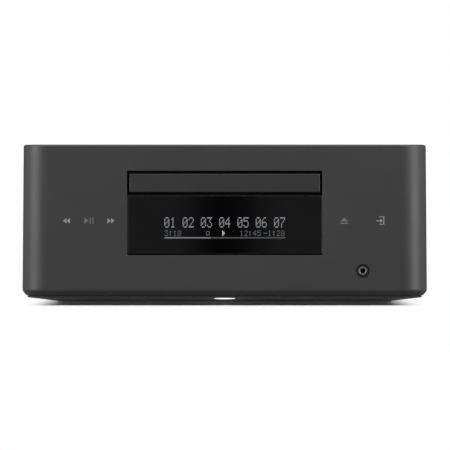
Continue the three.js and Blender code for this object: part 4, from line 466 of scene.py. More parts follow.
def toObject(name, shape, paints=""):
    mesh = bpy.data.meshes.new(name)
    mesh.from_pydata([metres(*p) for p in shape.points], [], shape.faces)
    for paint in paints.split():
        mesh.materials.append(finishes[paint])
    mesh.polygons.foreach_set("material_index", shape.paints)
    mould = bmesh.new()
    mould.from_mesh(mesh)
    bmesh.ops.remove_doubles(mould, verts=mould.verts, dist=0.0015 * mm)
    bmesh.ops.recalc_face_normals(mould, faces=mould.faces)
    middle = sum((v.co for v in mould.verts), Vector()) / len(mould.verts)
    if sum((f.calc_center_median() - middle).dot(f.normal) * f.calc_area() for f in mould.faces) < 0:
        # a tile as small as a display dot can come out inside out
        bmesh.ops.reverse_faces(mould, faces=mould.faces)
    mould.to_mesh(mesh)
    mould.free()
    return placed(name, mesh)


def bakeDown(obj):
    # modifiers become plain mesh
    bpy.context.view_layer.update()
    graph = bpy.context.evaluated_depsgraph_get()
    solved = obj.evaluated_get(graph)
    done = bpy.data.meshes.new_from_object(solved, preserve_all_data_layers=True, depsgraph=graph)
    obj.modifiers.clear()
    old = obj.data
    obj.data = done
    done.name = old.name
    bpy.data.meshes.remove(old)
    return obj


def carve(obj, cutter, paint=None, joined=False):
    # the cutter's faces may leave one of the piece's finishes on the cut; joined also fuses blocks of
    # the piece that overlap
    tool = toObject("cutter", cutter) if isinstance(cutter, Shape) else cutter
    if paint is not None:
        for face in tool.data.polygons:
            face.material_index = paint
    cut = obj.modifiers.new("cut", "BOOLEAN")
    cut.operation = "DIFFERENCE"
    cut.solver = "EXACT"
    cut.use_self = joined
    cut.object = tool
    bakeDown(obj)
    bpy.data.objects.remove(tool)


def merge(name, objects):
    # several objects as one, with their finishes side by side
    whole = bmesh.new()
    paints = []
    for obj in objects:
        for material in obj.data.materials:
            if material not in paints:
                paints.append(material)
        places = [paints.index(material) for material in obj.data.materials]
        for face in obj.data.polygons:
            face.material_index = places[face.material_index]
        whole.from_mesh(obj.data)
    mesh = bpy.data.meshes.new(name)
    whole.to_mesh(mesh)
    whole.free()
    for material in paints:
        mesh.materials.append(material)
    for obj in objects:
        bpy.data.objects.remove(obj)
    return placed(name, mesh)


wearAngle = math.radians(14)


def softenEdges(obj, width, segments=2, angle=32, sharpAngle=40):
    # rounds the edges, marks them for wear, and shades flats flat and rounds round
    if width:
        bevel = obj.modifiers.new("round", "BEVEL")
        bevel.width = width * mm
        bevel.segments = segments
        bevel.limit_method = "ANGLE"
        bevel.angle_limit = math.radians(angle)
        bevel.use_clamp_overlap = False
        bevel.miter_outer = "MITER_ARC"
        bakeDown(obj)
    mould = bmesh.new()
    mould.from_mesh(obj.data)
    bmesh.ops.delete(mould, geom=[edge for edge in mould.edges if not edge.link_faces], context="EDGES")
    wear = mould.faces.layers.float.new("wear")
    for face in mould.faces:
        face.smooth = True
        around = sum(edge.calc_length() for edge in face.edges)
        narrow = face.calc_area() / max(around * 0.5, 1e-9) < max(width, 0.05) * 0.8 * mm
        turn = max((edge.calc_face_angle(0.0) for edge in face.edges), default=0.0)
        face[wear] = 1.0 if narrow and turn > wearAngle else 0.0
    mould.to_mesh(obj.data)
    mould.free()
    obj.data.set_sharp_from_angle(angle=math.radians(sharpAngle))
    weigh = obj.modifiers.new("weigh", "WEIGHTED_NORMAL")
    weigh.mode = "FACE_AREA"
    weigh.weight = 50
    weigh.keep_sharp = True
    bakeDown(obj)


def dress(obj, slotName, *nodes, body="housing"):
    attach(obj, body)
    if nodes:
        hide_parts(*nodes)


def piece(name, shape, paints, slotName, *nodes, body="housing", bevel=0.0, segments=2, sharpAngle=40):
    # shape is a Shape, or an object that is already carved or merged
    obj = toObject(name, shape, paints) if isinstance(shape, Shape) else shape
    softenEdges(obj, bevel, segments, sharpAngle=sharpAngle)
    dress(obj, slotName, *nodes, body=body)


# Geometry Nodes trees that repeat a shape


def growTree(name, inputs, build):
    # a tree with named inputs, set by their identifiers; build gives the wire of its copies
    tree = bpy.data.node_groups.new(name, "GeometryNodeTree")
    nodes = Nodes(tree)
    inputs = {"Geometry": "Geometry", **inputs, "Finish": "Material"}
    for label, kind in inputs.items():
        tree.interface.new_socket(name=label, in_out="INPUT", socket_type="NodeSocket" + kind)
    tree.interface.new_socket(name="Geometry", in_out="OUTPUT", socket_type="NodeSocketGeometry")
    entry = tree.nodes.new("NodeGroupInput")
    wire = {label: Wire(tree, entry.outputs[label]) for label in inputs}
    real = nodes.add("GeometryNodeRealizeInstances", {}, {"Geometry": build(nodes, wire)})
    painted = nodes.add("GeometryNodeSetMaterial", {}, {"Geometry": real, "Material": wire["Finish"]})
    end = tree.nodes.new("NodeGroupOutput")
    tree.links.new(painted.socket, end.inputs["Geometry"])
    return tree


def copies(nodes, points, instance, **more):
    return nodes.add("GeometryNodeInstanceOnPoints", {}, {"Points": points, "Instance": instance, **more})


def line(nodes, **inputs):
    return nodes.add("GeometryNodeMeshLine", {"mode": "OFFSET"}, spaced(inputs))


def rowCopies(nodes, wire):
    # the piece itself along a line of points, and that line repeated in rows
    across = line(nodes, Count=wire["Count"], Start_Location=wire["Start"], Offset=wire["Step"])
    rows = line(nodes, Count=wire["Rows"], Offset=wire["RowStep"])
    grid = nodes.add("GeometryNodeRealizeInstances", {}, {"Geometry": copies(nodes, rows, across)})
    return copies(nodes, grid, wire["Geometry"])


def ringCopies(nodes, wire):
    # the piece itself round an axis, each copy turned with its place
    points = line(nodes, Count=wire["Count"], Start_Location=wire["Centre"], Offset=(0, 0, 0))
    turn = nodes.add("GeometryNodeInputIndex") * (2 * math.pi) / wire["Count"]
    spin = nodes.add("FunctionNodeAxisAngleToRotation", {}, {"Axis": wire["Axis"], "Angle": turn})
    return copies(nodes, points, wire["Geometry"], Rotation=spin)


def placeCopies(nodes, wire):
    # another object on each point of this one
    inputs = {"Object": wire["Piece"]}
    unit = nodes.add("GeometryNodeObjectInfo", {"transform_space": "ORIGINAL"}, inputs, out="Geometry")
    return copies(nodes, wire["Geometry"], unit)


rowInputs = {"Count": "Int", "Start": "Vector", "Step": "Vector", "Rows": "Int", "RowStep": "Vector"}
ringInputs = {"Count": "Int", "Centre": "Vector", "Axis": "Vector"}
trees = {
    "row": growTree("row_of_copies", rowInputs, rowCopies),
    "ring": growTree("ring_of_copies", ringInputs, ringCopies),
    "places": growTree("copies_at_places", {"Piece": "Object"}, placeCopies),
}


def metres(*values):
    return tuple(float(v * mm) for v in values)


def repeat(obj, kind, paint, **values):
    grow = obj.modifiers.new("repeat", "NODES")
    grow.node_group = trees[kind]
    sockets = trees[kind].interface.items_tree
    names = {item.name: item.identifier for item in sockets if item.in_out == "INPUT"}
    for label, value in {**values, "Finish": finishes[paint]}.items():
        grow[names[label]] = value
    return bakeDown(obj)


def repeated(name, shape, kind, paint, **values):
    return repeat(toObject(name, shape, paint), kind, paint, **values)


def atPlaces(name, unit, paint, places):
    mesh = bpy.data.meshes.new(name)
    mesh.from_pydata([metres(*p) for p in places], [], [])
    obj = repeat(placed(name, mesh), "places", paint, Piece=unit)
    bpy.data.objects.remove(unit)
    return obj


print("tools and repeat trees ready")


# cabinet: the section below is swept round the front and both sides in one piece

housing = {
    "halfWidth": 140.0,
    "frontY": -151.47,
    "rearY": 135.8,
    "height": 111.0,
    "bottomZ": 6.9,
    "cornerRadius": 18.0,
    "lean": 0.8,
    "fillet": 3.6,
    # (inset, height above the bottom) along the chamfer, softened at both ends
    "bottomEdge": [(2.75, 0.0), (2.62, 0.05), (2.45, 0.22), (1.9, 0.86), (1.3, 1.56), (0.72, 2.25)]
    + [(0.45, 2.62), (0.25, 3.0), (0.1, 3.45), (0.02, 3.95), (0.0, 4.5)],
    "topRound": 1.5,
    "wall": 3.0,
    "lipInset": 6.6,
    "lipTop": 12.0,
    "ledgeTop": 105.3,
    "ledgeBottom": 103.3,
    "ledgeInset": 6.0,
    "rearRound": 1.2,
    "rebateHalf": 136.2,
    "rebateY": 134.3,
    "leastRadius": 4.0,
}
window = {"half": 67.3, "bottom": 34.85, "top": 92.85, "cornerRadius": 0.4}
phones = (95.2023, 23.8)
phonesHole = 4.6
sides = {"left": -1, "right": 1}


def lean(z):
    foot = housing["bottomZ"] + housing["fillet"]
    return housing["lean"] * max(z - foot, 0) / (housing["height"] - foot)


def quarter(radius, steps):
    # how far a round edge has come in, and how far it still is from its end
    angles = [math.radians(90 / steps * k) for k in range(steps + 1)]
    return [(radius * (1 - math.cos(a)), radius * (1 - math.sin(a))) for a in angles]


def wrapSection():
    # (inset, height, outer) from the lip round the outside and back down the inside
    h = housing
    lip, wall, ledge = h["lipInset"], h["wall"], h["ledgeInset"]
    points = [(lip, h["bottomZ"], False)]
    points += [(inset, h["bottomZ"] + z, True) for inset, z in h["bottomEdge"]]
    points += [(inset, h["height"] - drop, True) for inset, drop in quarter(h["topRound"], 5)]
    inside = [(wall, h["height"]), (wall, h["ledgeTop"]), (ledge, h["ledgeTop"]), (ledge, h["ledgeBottom"])]
    inside += [(wall, h["ledgeBottom"]), (wall, h["lipTop"]), (lip, h["lipTop"])]
    return points + [(*point, False) for point in inside]


def wrapPath(inset, z, outer):
    # the U of the cabinet seen from above, from the rear left to the rear right
    h = housing
    half = h["halfWidth"] - inset - lean(z)
    frontY = h["frontY"] + inset
    radius = max(h["cornerRadius"] - inset, h["leastRadius"])
    corner = quarter(h["rearRound"], 3)
    ends = [(half - (shift if outer else 0.0), h["rearY"] - back) for shift, back in corner]
    left = circle((-half + radius, frontY + radius), radius, 28, 180, 90)
    right = circle((half - radius, frontY + radius), radius, 28, 270, 90)
    return [(-x, y) for x, y in reversed(ends)] + left + right + ends


def makeCabinet():
    h, w = housing, window
    lines = [[(x, y, z) for x, y in wrapPath(inset, z, outer)] for inset, z, outer in wrapSection()]
    shell = toObject("cabinet_shell", Shape().loft(list(zip(*lines))), "housing recess")
    opening = rounded((-w["half"], w["bottom"]), (w["half"], w["top"]), w["cornerRadius"], 4)
    # the cut faces round the window and the socket hole take the near-black recess finish: painted shade
    for outline in (opening, circle(phones, phonesHole, 64)):
        carve(shell, Shape().prism(outline, "y", h["frontY"] - 3, h["frontY"] + 8), 1)
    low, high = (-h["rebateHalf"], h["rebateY"], -2), (h["rebateHalf"], h["rearY"] + 3, h["ledgeTop"])
    carve(shell, Shape().block(low, high))
    piece("", shell, "", "housing_plastic", "cabinet_wrap", bevel=0.25, segments=3)


# top plate, with its printed touch keys

top = {"half": 135.9, "frontY": -148.2, "bottom": 107.9, "top": 110.7, "frontRadius": 14.5, "rearRadius": 1.5}
keys = {"pitch": 26.0, "y": -118.0, "size": 3.4, "line": 0.55, "stem": 4.1, "gap": 64.0}
keys |= {"sunk": 0.02, "raise": 0.03}


def makeTop():
    t, k = top, keys
    loop = planLoop(t["half"], t["frontY"], housing["rearY"], t["frontRadius"], t["rearRadius"])
    plate = Shape().prism(loop, "z", t["bottom"], t["top"])
    piece("top_glass", plate, "gloss", "gloss_acrylic", "top_plate", bevel=0.45, segments=3)
    low, high = t["top"] - k["sunk"], t["top"] + k["raise"]
    x, y, size, half = k["pitch"], k["y"], k["size"], k["line"] / 2
    # a ring that is open at its top, and a stem in the gap
    gap = k["gap"]
    outer, inner = (circle((-x, y), size + side, 40, 90 + gap / 2, 360 - gap) for side in (half, -half))
    marks = Shape().prism(outer + inner[::-1], "z", low, high)
    for left, front, right, rear in (
        (-x - half, y, -x + half, y + k["stem"]),
        (-size, y - half, size, y + half),
        (x - size, y - half, x + size, y + half),
        (x - half, y - size, x + half, y - half),
        (x - half, y + half, x + half, y + size),
    ):
        marks.bar((left, front), (right, rear), "z", low, high)
    piece("top_key_marks", marks, "print", "white_plastic")


# base pan with its sloping skirt, vents, feet and indicator light

pan = {
    "frontY": -151.5,
    "edgeTop": 6.42,
    "edgeInset": 3.05,
    "skirtTop": 5.45,
    "skirtInset": 4.0,
    "flatZ": 1.6,
    "flatInset": 24.4,
    "skirtEndZ": 2.8,
    "flatRear": 20.0,
    "rimInset": 6.9,
    "rimTop": 13.2,
    "wall": 2.2,
    "rimRear": 1.5,
    "rearRadius": 3.0,
    "slope": 0.13,
    "plinthZ": 0.06,
    "plinthWidth": 2.4,
}
vent = {"half": (18.0, 1.5), "round": 1.49, "x": 92.0, "firstY": -73.5, "pitch": 9.0, "count": 6}
foot = {"radius": 14.0, "height": 2.2, "pocket": 0.9, "room": 0.35, "x": 92.0, "front": -101.5, "rear": 89.8}
# (radius, height) of the rings in a foot's underside
footRings = [(0, 0.25), (3.2, 0.25), (3.4, 0.5), (4.4, 0.5), (4.6, 0.0), (8.2, 0.0), (8.4, 0.3)]
footRings += [(9.2, 0.3), (9.4, 0.0)]


def panLoop(inset, rearInset, z):
    half = housing["halfWidth"] - inset
    radius = max(housing["cornerRadius"] - inset, housing["leastRadius"])
    loop = planLoop(half, pan["frontY"] + inset, housing["rearY"] - rearInset, radius, pan["rearRadius"])
    return [(x, y, z) for x, y in loop]


def skirtZ(y):
    # height of the sloping skirt along the front
    return pan["skirtTop"] - (y - pan["frontY"] - pan["skirtInset"]) * pan["slope"]


def ellipseLoop(grow, lift, flat=None, wide=0.0, steps=72):
    # an ellipse round the light, lying on the skirt or flat at a height
    points = []
    for k in range(steps):
        a = 2 * math.pi * k / steps
        x = (lens["halfWidth"] + grow + wide) * math.cos(a)
        y = lens["y"] + (lens["halfLength"] + grow) * math.sin(a)
        points.append((x, y, skirtZ(y) + lift if flat is None else flat))
    return points


def makeBase():
    p, v, f = pan, vent, foot
    plinth = (p["flatInset"] + p["plinthWidth"], p["flatRear"] + p["plinthWidth"])
    flat, rim = (p["flatInset"], p["flatRear"]), (p["rimInset"], p["rimRear"])
    inner = (p["rimInset"] + p["wall"], p["rimRear"] + p["wall"])
    rings = [
        panLoop(*inset, z)
        for inset, z in (
            (plinth, p["flatZ"]),
            (plinth, p["plinthZ"]),
            (flat, p["plinthZ"]),
            (flat, p["skirtEndZ"]),
            ((p["skirtInset"], 0.0), p["skirtTop"]),
            ((p["edgeInset"], 0.0), p["edgeTop"]),
            (rim, p["edgeTop"]),
            (rim, p["rimTop"]),
            (inner, p["rimTop"]),
            (inner, p["skirtTop"] + 1.2),
            (plinth, p["flatZ"] + p["wall"]),
        )
    ]
    shell = Shape().loft(rings)
    # the rim's faces take the darker copy of the pan's plastic: painted shade on the faces that look down
    for k in range(4 * len(rings[0]), 6 * len(rings[0])):
        shell.paints[k] = 1  # the rim between the skirt and the cabinet is darker
    base = toObject("base_pan_shell", shell, "pan rim")
    slot = Shape().prism(tile((0, 0), v["half"], v["round"]), "z", -2, 8)
    start, step, rowStep = metres(-v["x"], v["firstY"], 0), metres(2 * v["x"], 0, 0), metres(0, v["pitch"], 0)
    counts = {"Count": 2, "Rows": v["count"]}
    carve(base, repeated("slots", slot, "row", "pan", Start=start, Step=step, RowStep=rowStep, **counts))
    corners = {
        end + "_" + side: (sign * f["x"], f[end]) for side, sign in sides.items() for end in ("front", "rear")
    }
    pockets = Shape()
    wide = f["radius"] + f["room"]
    for place in corners.values():
        pockets.turned([(wide, 0.0), (wide, p["flatZ"] + f["pocket"])], place, "z", 72)
    carve(base, pockets)
    margin, wide = lens["margin"], lens["wide"]
    scoop = [ellipseLoop(margin + 0.6, -0.6, None, wide), ellipseLoop(margin, 0.02, None, wide)]
    carve(base, Shape().loft(scoop + [ellipseLoop(0.3, lens["dish"])]))
    bore = lens["bore"]
    carve(base, Shape().loft([ellipseLoop(bore, -3), ellipseLoop(bore, 0, lens["top"] + 0.05)]))
    piece("", base, "", "inner_plastic", "base_pan", bevel=0.22)

    dome = [ellipseLoop(grow, lift - lens["proud"]) for grow, lift in lens["dome"]]
    lit = Shape().loft(dome + [ellipseLoop(0.0, 0, lens["top"])])
    piece("indicator_light", lit, "lens", "lens_plastic", "indicator_lens")

    r, h = f["radius"], f["height"]
    profile = footRings + [(r - 0.4, 0.0), (r, 0.4), (r, h), (0, h)]
    for end, place in corners.items():
        pad = Shape().turned(profile, place, "z", 72)
        piece("foot_" + end + "_pad", pad, "rubber", "foot_rubber", "foot_" + end, bevel=0.12)


# window: smoked glass below, disc door above, both just behind the front plane

glass = {"half": 67.0, "frontY": -151.3, "rearY": -148.2, "bottom": 35.8, "top": 75.75, "corner": 0.3}
door = {"half": 65.6, "frontY": -151.3, "rearY": -148.2, "bottom": 78.15, "top": 90.8, "corner": 0.4}
clip = {"x": 46, "half": 4, "bottom": 83.6, "top": 87.2, "sunk": 0.2, "proud": 0.25}


def slab(box):
    low, high = (-box["half"], box["bottom"]), (box["half"], box["top"])
    return Shape().prism(rounded(low, high, box["corner"], 5), "y", box["frontY"], box["rearY"])


def makeWindow():
    piece("smoked_window", slab(glass), "gloss", "gloss_acrylic", "display_window", bevel=0.3, segments=3)
    flap, c, y = slab(door), clip, door["rearY"]
    # two clips behind the door hold it to the tray
    for x in (-c["x"], c["x"]):
        flap.block((x - c["half"], y - c["sunk"], c["bottom"]), (x + c["half"], y + c["proud"], c["top"]))
    piece("disc_door", flap, "door", "door_plastic", "tray_door", body="tray", bevel=0.4, segments=3)


# display: a dot matrix that shows plain numbers

digits = {
    "0": "01110 10001 10011 10101 11001 10001 01110",
    "1": "00100 01100 00100 00100 00100 00100 01110",
    "2": "01110 10001 00001 00010 00100 01000 11111",
    "3": "11111 00010 00100 00010 00001 10001 01110",
    "4": "00010 00110 01010 10010 11111 00010 00010",
    "5": "11111 10000 11110 00001 00001 10001 01110",
    "6": "00110 01000 10000 11110 10001 10001 01110",
    "7": "11111 00001 00010 00100 01000 01000 01000",
    "8": "01110 10001 10001 01110 10001 10001 01110",
    ":": "00000 01100 01100 00000 01100 01100 00000",
    "-": "00000 00000 00000 11111 00000 00000 00000",
    ">": "01000 01100 01110 01111 01110 01100 01000",
    "=": "00000 11111 10001 10001 10001 11111 00000",
    " ": "00000 00000 00000 00000 00000 00000 00000",
}
# each group: finish, dot size, pitch of the dots, top line, and its texts with their left ends
display = {
    "display_numbers": ("dots", (0.54, 0.8), (0.7, 1.04), 60.4, {"01 02 03 04 05 06 07": -41.3}),
    "display_times": (
        "dotsSmall",
        (0.38, 0.42),
        (0.5, 0.56),
        51.5,
        {"3:18": -41.3, "=": -12.6, "12:45": 10.6, "-1:28": 27.0},
    ),
    "display_play_mark": ("dotsBright", (0.48, 0.5), (0.5, 0.56), 51.5, {">": -2.0}),
}
letterPitch = 6  # dots from one figure to the next
progress = {"progress_played": (-41.6, -9.4, "dotsSmall"), "progress_left": (-9.0, 41.8, "dotsDim")}
progressBottom, progressTop = 46.2, 47.2
dotLift, dotSunk = 0.02, 0.01


def dotPlaces(text, left, topZ, pitch):
    return [
        (left + (place * letterPitch + column) * pitch[0], glass["frontY"], topZ - line * pitch[1])
        for place, letter in enumerate(text)
        for line, cells in enumerate(digits[letter].split())
        for column, cell in enumerate(cells)
        if cell == "1"
    ]


def makeDisplay():
    for name, (paint, size, pitch, topZ, texts) in display.items():
        # one dot: a tiny tile with cut corners, lying on the glass
        w, h, c = size[0] / 2, size[1] / 2, min(size) * 0.2
        outline = mirrored([(w - c, -h), (w, -h + c), (w, h - c), (w - c, h)])
        unit = Shape().prism(outline, "y", -dotLift, dotSunk)
        places = [place for text, left in texts.items() for place in dotPlaces(text, left, topZ, pitch)]
        dress(atPlaces(name, toObject("unit", unit, paint), paint, places), "lens_plastic")
    front, back = glass["frontY"] - dotLift, glass["frontY"] + dotSunk
    for name, (left, right, paint) in progress.items():
        strip = Shape().bar((left, progressBottom), (right, progressTop), "y", front, back)
        piece(name, strip, paint, "lens_plastic")


# printed touch symbols on the front, in the photograph's places

printFront, printBack = -151.497, -151.46
# arrowheads: tip, width, height and the side that they point to (-1 left, 1 right)
boldArrows = [((-111.5, 58.4), 2.4, 3.7, -1), ((-109.1, 58.4), 2.4, 3.7, -1)]
boldArrows += [((-78.5, 58.4), 2.4, 3.7, 1), ((-75.9, 58.4), 2.4, 3.7, 1), ((109.0, 58.4), 1.7, 3.0, 1)]
faintArrows = [((-93.9, 58.5), 2.9, 4.4, 1)]
boldBars = [((104.5, 58.1), (107.3, 58.7))]
faintBars = [((x, 56.4), (x + 0.6, 60.7)) for x in (-93.1, -91.1)] + [((79.8, 56.3), (85.0, 57.1))]
bracket = [(106.6, 55.8), (110.0, 55.8), (110.0, 61.4), (106.6, 61.4), (106.6, 60.9), (109.4, 60.9)]
bracket += [(109.4, 56.3), (106.6, 56.3)]
eject = [(79.8, 58.0), (85.0, 58.0), (82.4, 60.6)]


def makeSymbols():
    for name, paint, arrows, bars, outline in (
        ("front_key_marks", "print", boldArrows, boldBars, bracket),
        ("front_key_marks_soft", "printFaint", faintArrows, faintBars, eject),
    ):
        marks = Shape().prism(outline, "y", printFront, printBack)
        for (x, z), width, height, side in arrows:
            base = x - side * width
            head = [(x, z), (base, z + height / 2), (base, z - height / 2)]
            marks.prism(head, "y", printFront, printBack)
        for low, high in bars:
            marks.bar(low, high, "y", printFront, printBack)
        piece(name, marks, paint, "white_plastic")


# headphone socket

# (radius, y) of its collar, of the sleeve in it and of the floor of the bore
jackCollar = [(3.1, -150.15), (3.25, -150.3), (4.05, -150.3), (4.3, -150.05), (4.3, -146.9), (3.1, -146.9)]
jackSleeve = [(1.75, -150.8), (1.87, -151.08), (2.15, -151.27), (2.5, -151.3), (2.82, -151.22)]
jackSleeve += [(3.0, -150.95), (3.0, -146.9), (1.75, -146.9)]
jackFloor = [(0, -147.4), (1.73, -147.4), (1.73, -147.0), (0, -147.0)]
jackBody = {"half": 5.4, "front": -147.1, "back": -136.3}


def makeJack():
    (x, z), half = phones, jackBody["half"]
    socket = Shape().turned(jackCollar, phones, "y", 64, 0, True)
    socket.bar((x - half, z - half), (x + half, z + half), "y", jackBody["front"], jackBody["back"])
    socket.turned(jackSleeve, phones, "y", 64, 1, True)
    # the floor of the bore takes the near-black recess finish: painted shade
    socket.turned(jackFloor, phones, "y", 32, 2)
    piece("headphone_jack", socket, "socket sleeve recess", "steel", "headphone_socket", bevel=0.08)


# rear panel: places of everything on it, and the sizes of its openings

panel = {"half": 135.9, "bottom": 6.6, "top": 105.3, "inner": 134.6, "outer": 135.8, "corner": 2.2}
fan = {"x": -95.1, "z": 74.5, "bore": 18.6, "slot": 2.4, "pitch": 4.4, "screw": 16.0}
rear = {
    "terminals": (-40.77, 32.8),
    "inlet": (-103.3, 25.9),
    "lan": (17.7, 29.8),
    "usb": (17.7, 52.7),
    "optical": (50.3, 29.8),
    "rca": (95.1, 38.8),
    "fm": (100.6, 73.5),
    "aerial": (126.39, 92.39),
}
# half width, half height, corner radius
mouths = {"lan": (7.8, 6.6, 0.6), "usb": (7.45, 3.85, 0.6), "optical": (7.2, 6.3, 0.6)}
mouths |= {"inlet": (11.2, 7.2, 2.0)}
# radius of the round openings, and the steps of their circles
bores = {"terminals": (5.0, 40), "rca": (4.6, 40), "fm": (4.4, 40), "aerial": (3.3, 32), "fan": (1.4, 24)}
terminal = {"pitch": 19.0, "half": (38.0, 12.0), "corner": 2.5, "face": 138.1, "rear": 126.2}
terminal |= {"markDrop": 9.6, "markHalf": 1.2, "markLine": 0.25}
phono = {"half": (15.5, 16.0), "face": 137.3, "aside": 7.5, "up": 8.0, "body": (13.6, 14.0), "rear": 124.1}
# where the flanges outside the panel start, and where the blocks behind it end
flangeStart, blockEnd = 136.1, 134.3
panelScrews = [(x, 12) for x in (-128, -64, 0, 64, 128)] + [(x, 99.5) for x in (-118, -40, 40, 112)]
screw = {"radius": 2.7, "height": 1.5}
# (share of the radius, share of the height) of a pan head
screwHead = [(0.45, 1.0), (0.8, 0.86), (0.95, 0.6), (1.0, 0.25)]


def around(item, aside, up):
    # four places round one
    x, z = item
    return [(x + sx * aside, z + sz * up) for sx in (-1, 1) for sz in (-1, 1)]


def terminalPlaces():
    x, z = rear["terminals"]
    return [(x + (k - 1.5) * terminal["pitch"], z) for k in range(4)]


def makeScrews(name, places):
    r, h = screw["radius"], screw["height"]
    profile = [(0, h)] + [(r * wide, h * high) for wide, high in screwHead] + [(r, -0.2), (0, -0.2)]
    unit = toObject("unit", Shape().turned(profile, (0, 0), "y", 24), "screw")
    # cross recess
    w, reach = r * 0.12, r * 0.55
    outline = [(w, -reach), (w, -w), (reach, -w), (reach, w), (w, w), (w, reach)]
    carve(unit, Shape().prism(mirrored(outline), "y", h * 0.25, h + 1))
    softenEdges(unit, 0.04, 1, 40)
    dress(atPlaces(name, unit, "screw", places), "steel")


def makePanel():
    p, f = panel, fan
    start, end = p["inner"] - 2, p["outer"] + 2
    outline = rounded((-p["half"], p["bottom"]), (p["half"], p["top"]), p["corner"], 5)
    sheet = toObject("rear_plate", Shape().prism(outline, "y", p["inner"], p["outer"]), "panel")
    # fan slots stop on the bore's circle
    count = int(2 * f["bore"] // f["pitch"])
    slots = Shape()
    for k in range(count + 1):
        z = (k - count / 2) * f["pitch"]
        edge = abs(z) + f["slot"] / 2
        if edge < f["bore"]:
            reach = math.sqrt(f["bore"] ** 2 - edge**2)
            slots.prism(tile((f["x"], f["z"] + z), (reach, f["slot"] / 2), 1.15), "y", start, end)
    carve(sheet, slots)
    holes = Shape()
    aerials = [(sign * rear["aerial"][0], rear["aerial"][1]) for sign in sides.values()]
    fanScrews = around((f["x"], f["z"]), f["screw"], f["screw"])
    for item, (w, h, radius) in mouths.items():
        holes.prism(tile(rear[item], (w, h), radius, 4), "y", start, end)
    phonos = around(rear["rca"], phono["aside"], phono["up"])
    groups = (terminalPlaces(), phonos, [rear["fm"]], aerials, fanScrews)
    for places, size in zip(groups, bores.values()):
        for place in places:
            holes.prism(circle(place, *size), "y", start, end)
    carve(sheet, holes)
    piece("", sheet, "", "rear_steel", "rear_panel", bevel=0.15)
    makeScrews("panel_screws", [(x, p["outer"], z) for x, z in panelScrews + fanScrews])


# speaker terminals: (radius, y, depth of the knurls) round a cap; (radius, y) of the collar and stud

capRings = [(2.9, 139.6, 0), (5.4, 139.6, 0), (5.9, 139.9, 0), (5.9, 141.0, 0), (6.4, 141.3, 0.5)]
capRings += [(6.4, 149.9, 0.5), (5.9, 150.9, 0.2), (5.4, 151.35, 0), (4.0, 151.45, 0), (3.1, 151.3, 0)]
capRings += [(2.9, 150.9, 0)]
collar = [(2.7, 138.0), (6.2, 138.0), (6.2, 138.8), (5.9, 139.1), (2.7, 139.1)]
stud = [(2.0, 141.9), (2.0, 150.6), (2.2, 150.9), (2.45, 150.9), (2.6, 150.75), (2.6, 136.2), (0, 136.2)]
stud += [(0, 141.9)]
knurls, knurlSteps = 24, 5


def knurledRing(centre, radius, y, depth):
    points = []
    for k in range(knurls * knurlSteps):
        a = 2 * math.pi * k / (knurls * knurlSteps)
        r = radius - depth * (0.5 - 0.5 * math.cos(2 * math.pi * k / knurlSteps))
        points.append((centre[0] + r * math.cos(a), y, centre[1] + r * math.sin(a)))
    return points


def makeTerminals():
    t = terminal
    (x, z), (w, h) = rear["terminals"], t["half"]
    block = Shape().prism(tile((x, z), (w, h), t["corner"]), "y", flangeStart, t["face"])
    w, h = w - t["corner"], h - t["corner"]
    block.bar((x - w, z - h), (x + w, z + h), "y", t["rear"], blockEnd)
    z, m, n = z - t["markDrop"], t["markHalf"], t["markLine"]
    for k, place in enumerate(terminalPlaces()):
        block.turned(collar, place, "y", 56, 0, True)
        block.turned(stud, place, "y", 40, 1)
        # polarity marks, moulded in the flange: a plus is a minus with two more bars
        x = place[0]
        marks = [(x - m, z - n, x + m, z + n)]
        if k % 2 == 0:
            marks += [(x - n, z + n, x + n, z + m), (x - n, z - m, x + n, z - n)]
        for left, low, right, high in marks:
            block.bar((left, low), (right, high), "y", t["face"] - 0.05, t["face"] + 0.12, 2)
    paints = "socket nickel print"
    piece("speaker_terminal_block", block, paints, "inner_plastic", "speaker_terminals", bevel=0.15)
    for k, place in enumerate(terminalPlaces()):
        cap = Shape().loft([knurledRing(place, *ring) for ring in capRings], 0, True)
        paint, slotName = ("capBlack", "cap_black") if k % 2 else ("capRed", "cap_red")
        node = "terminal_cap_" + str(k + 1)
        piece("terminal_knob_" + str(k + 1), cap, paint, slotName, node, body=node, sharpAngle=50)


# rear sockets

# right halves of the mouth with its latch notch and of the rim, with as many points as each other
lanMouth = [(6, -3.8), (6, 3.8), (3, 3.8), (3, 6.2)]
lanRim = [(8.2, -7), (8.2, 7), (3.2, 7), (3.1, 7)]
lan = {"half": (8.2, 7), "rear": 120.1, "shell": 124.0, "face": 137.3, "drop": 0.8}
lan |= {"contacts": 8, "pitch": 1.02, "contact": 0.22, "lamp": (6.6, 5.3), "lampHalf": (0.7, 0.6)}


def makeLan(shape, x, z):
    # metal shell, plastic mouth, eight contacts and two lamps
    p, low, half = lan, z - lan["drop"], lan["contact"]
    shape.prism(tile((x, z), p["half"], 0.5, 3), "y", p["rear"], p["shell"])
    shape.tube(mirrored(lanRim, x, z), mirrored(lanMouth, x, low), p["shell"] - 0.1, p["face"])
    for k in range(p["contacts"]):
        u = x + (k - (p["contacts"] - 1) / 2) * p["pitch"]
        shape.block((u - half, p["shell"] + 1, low - 3.7), (u + half, p["face"] - 1.9, low - 3.1), 1)
    (aside, up), (w, h) = p["lamp"], p["lampHalf"]
    for u in (x - aside, x + aside):
        shape.bar((u - w, z + up - h), (u + w, z + up + h), "y", p["face"] - 0.05, p["face"], 2)


usb = {"outer": (7.3, 3.7), "inner": (6.5, 2.9), "rear": 122.1, "shell": 124.0, "face": 137.1}
usb |= {"tongue": 5.7, "contacts": 4, "pitch": 2.3, "contact": 0.55}


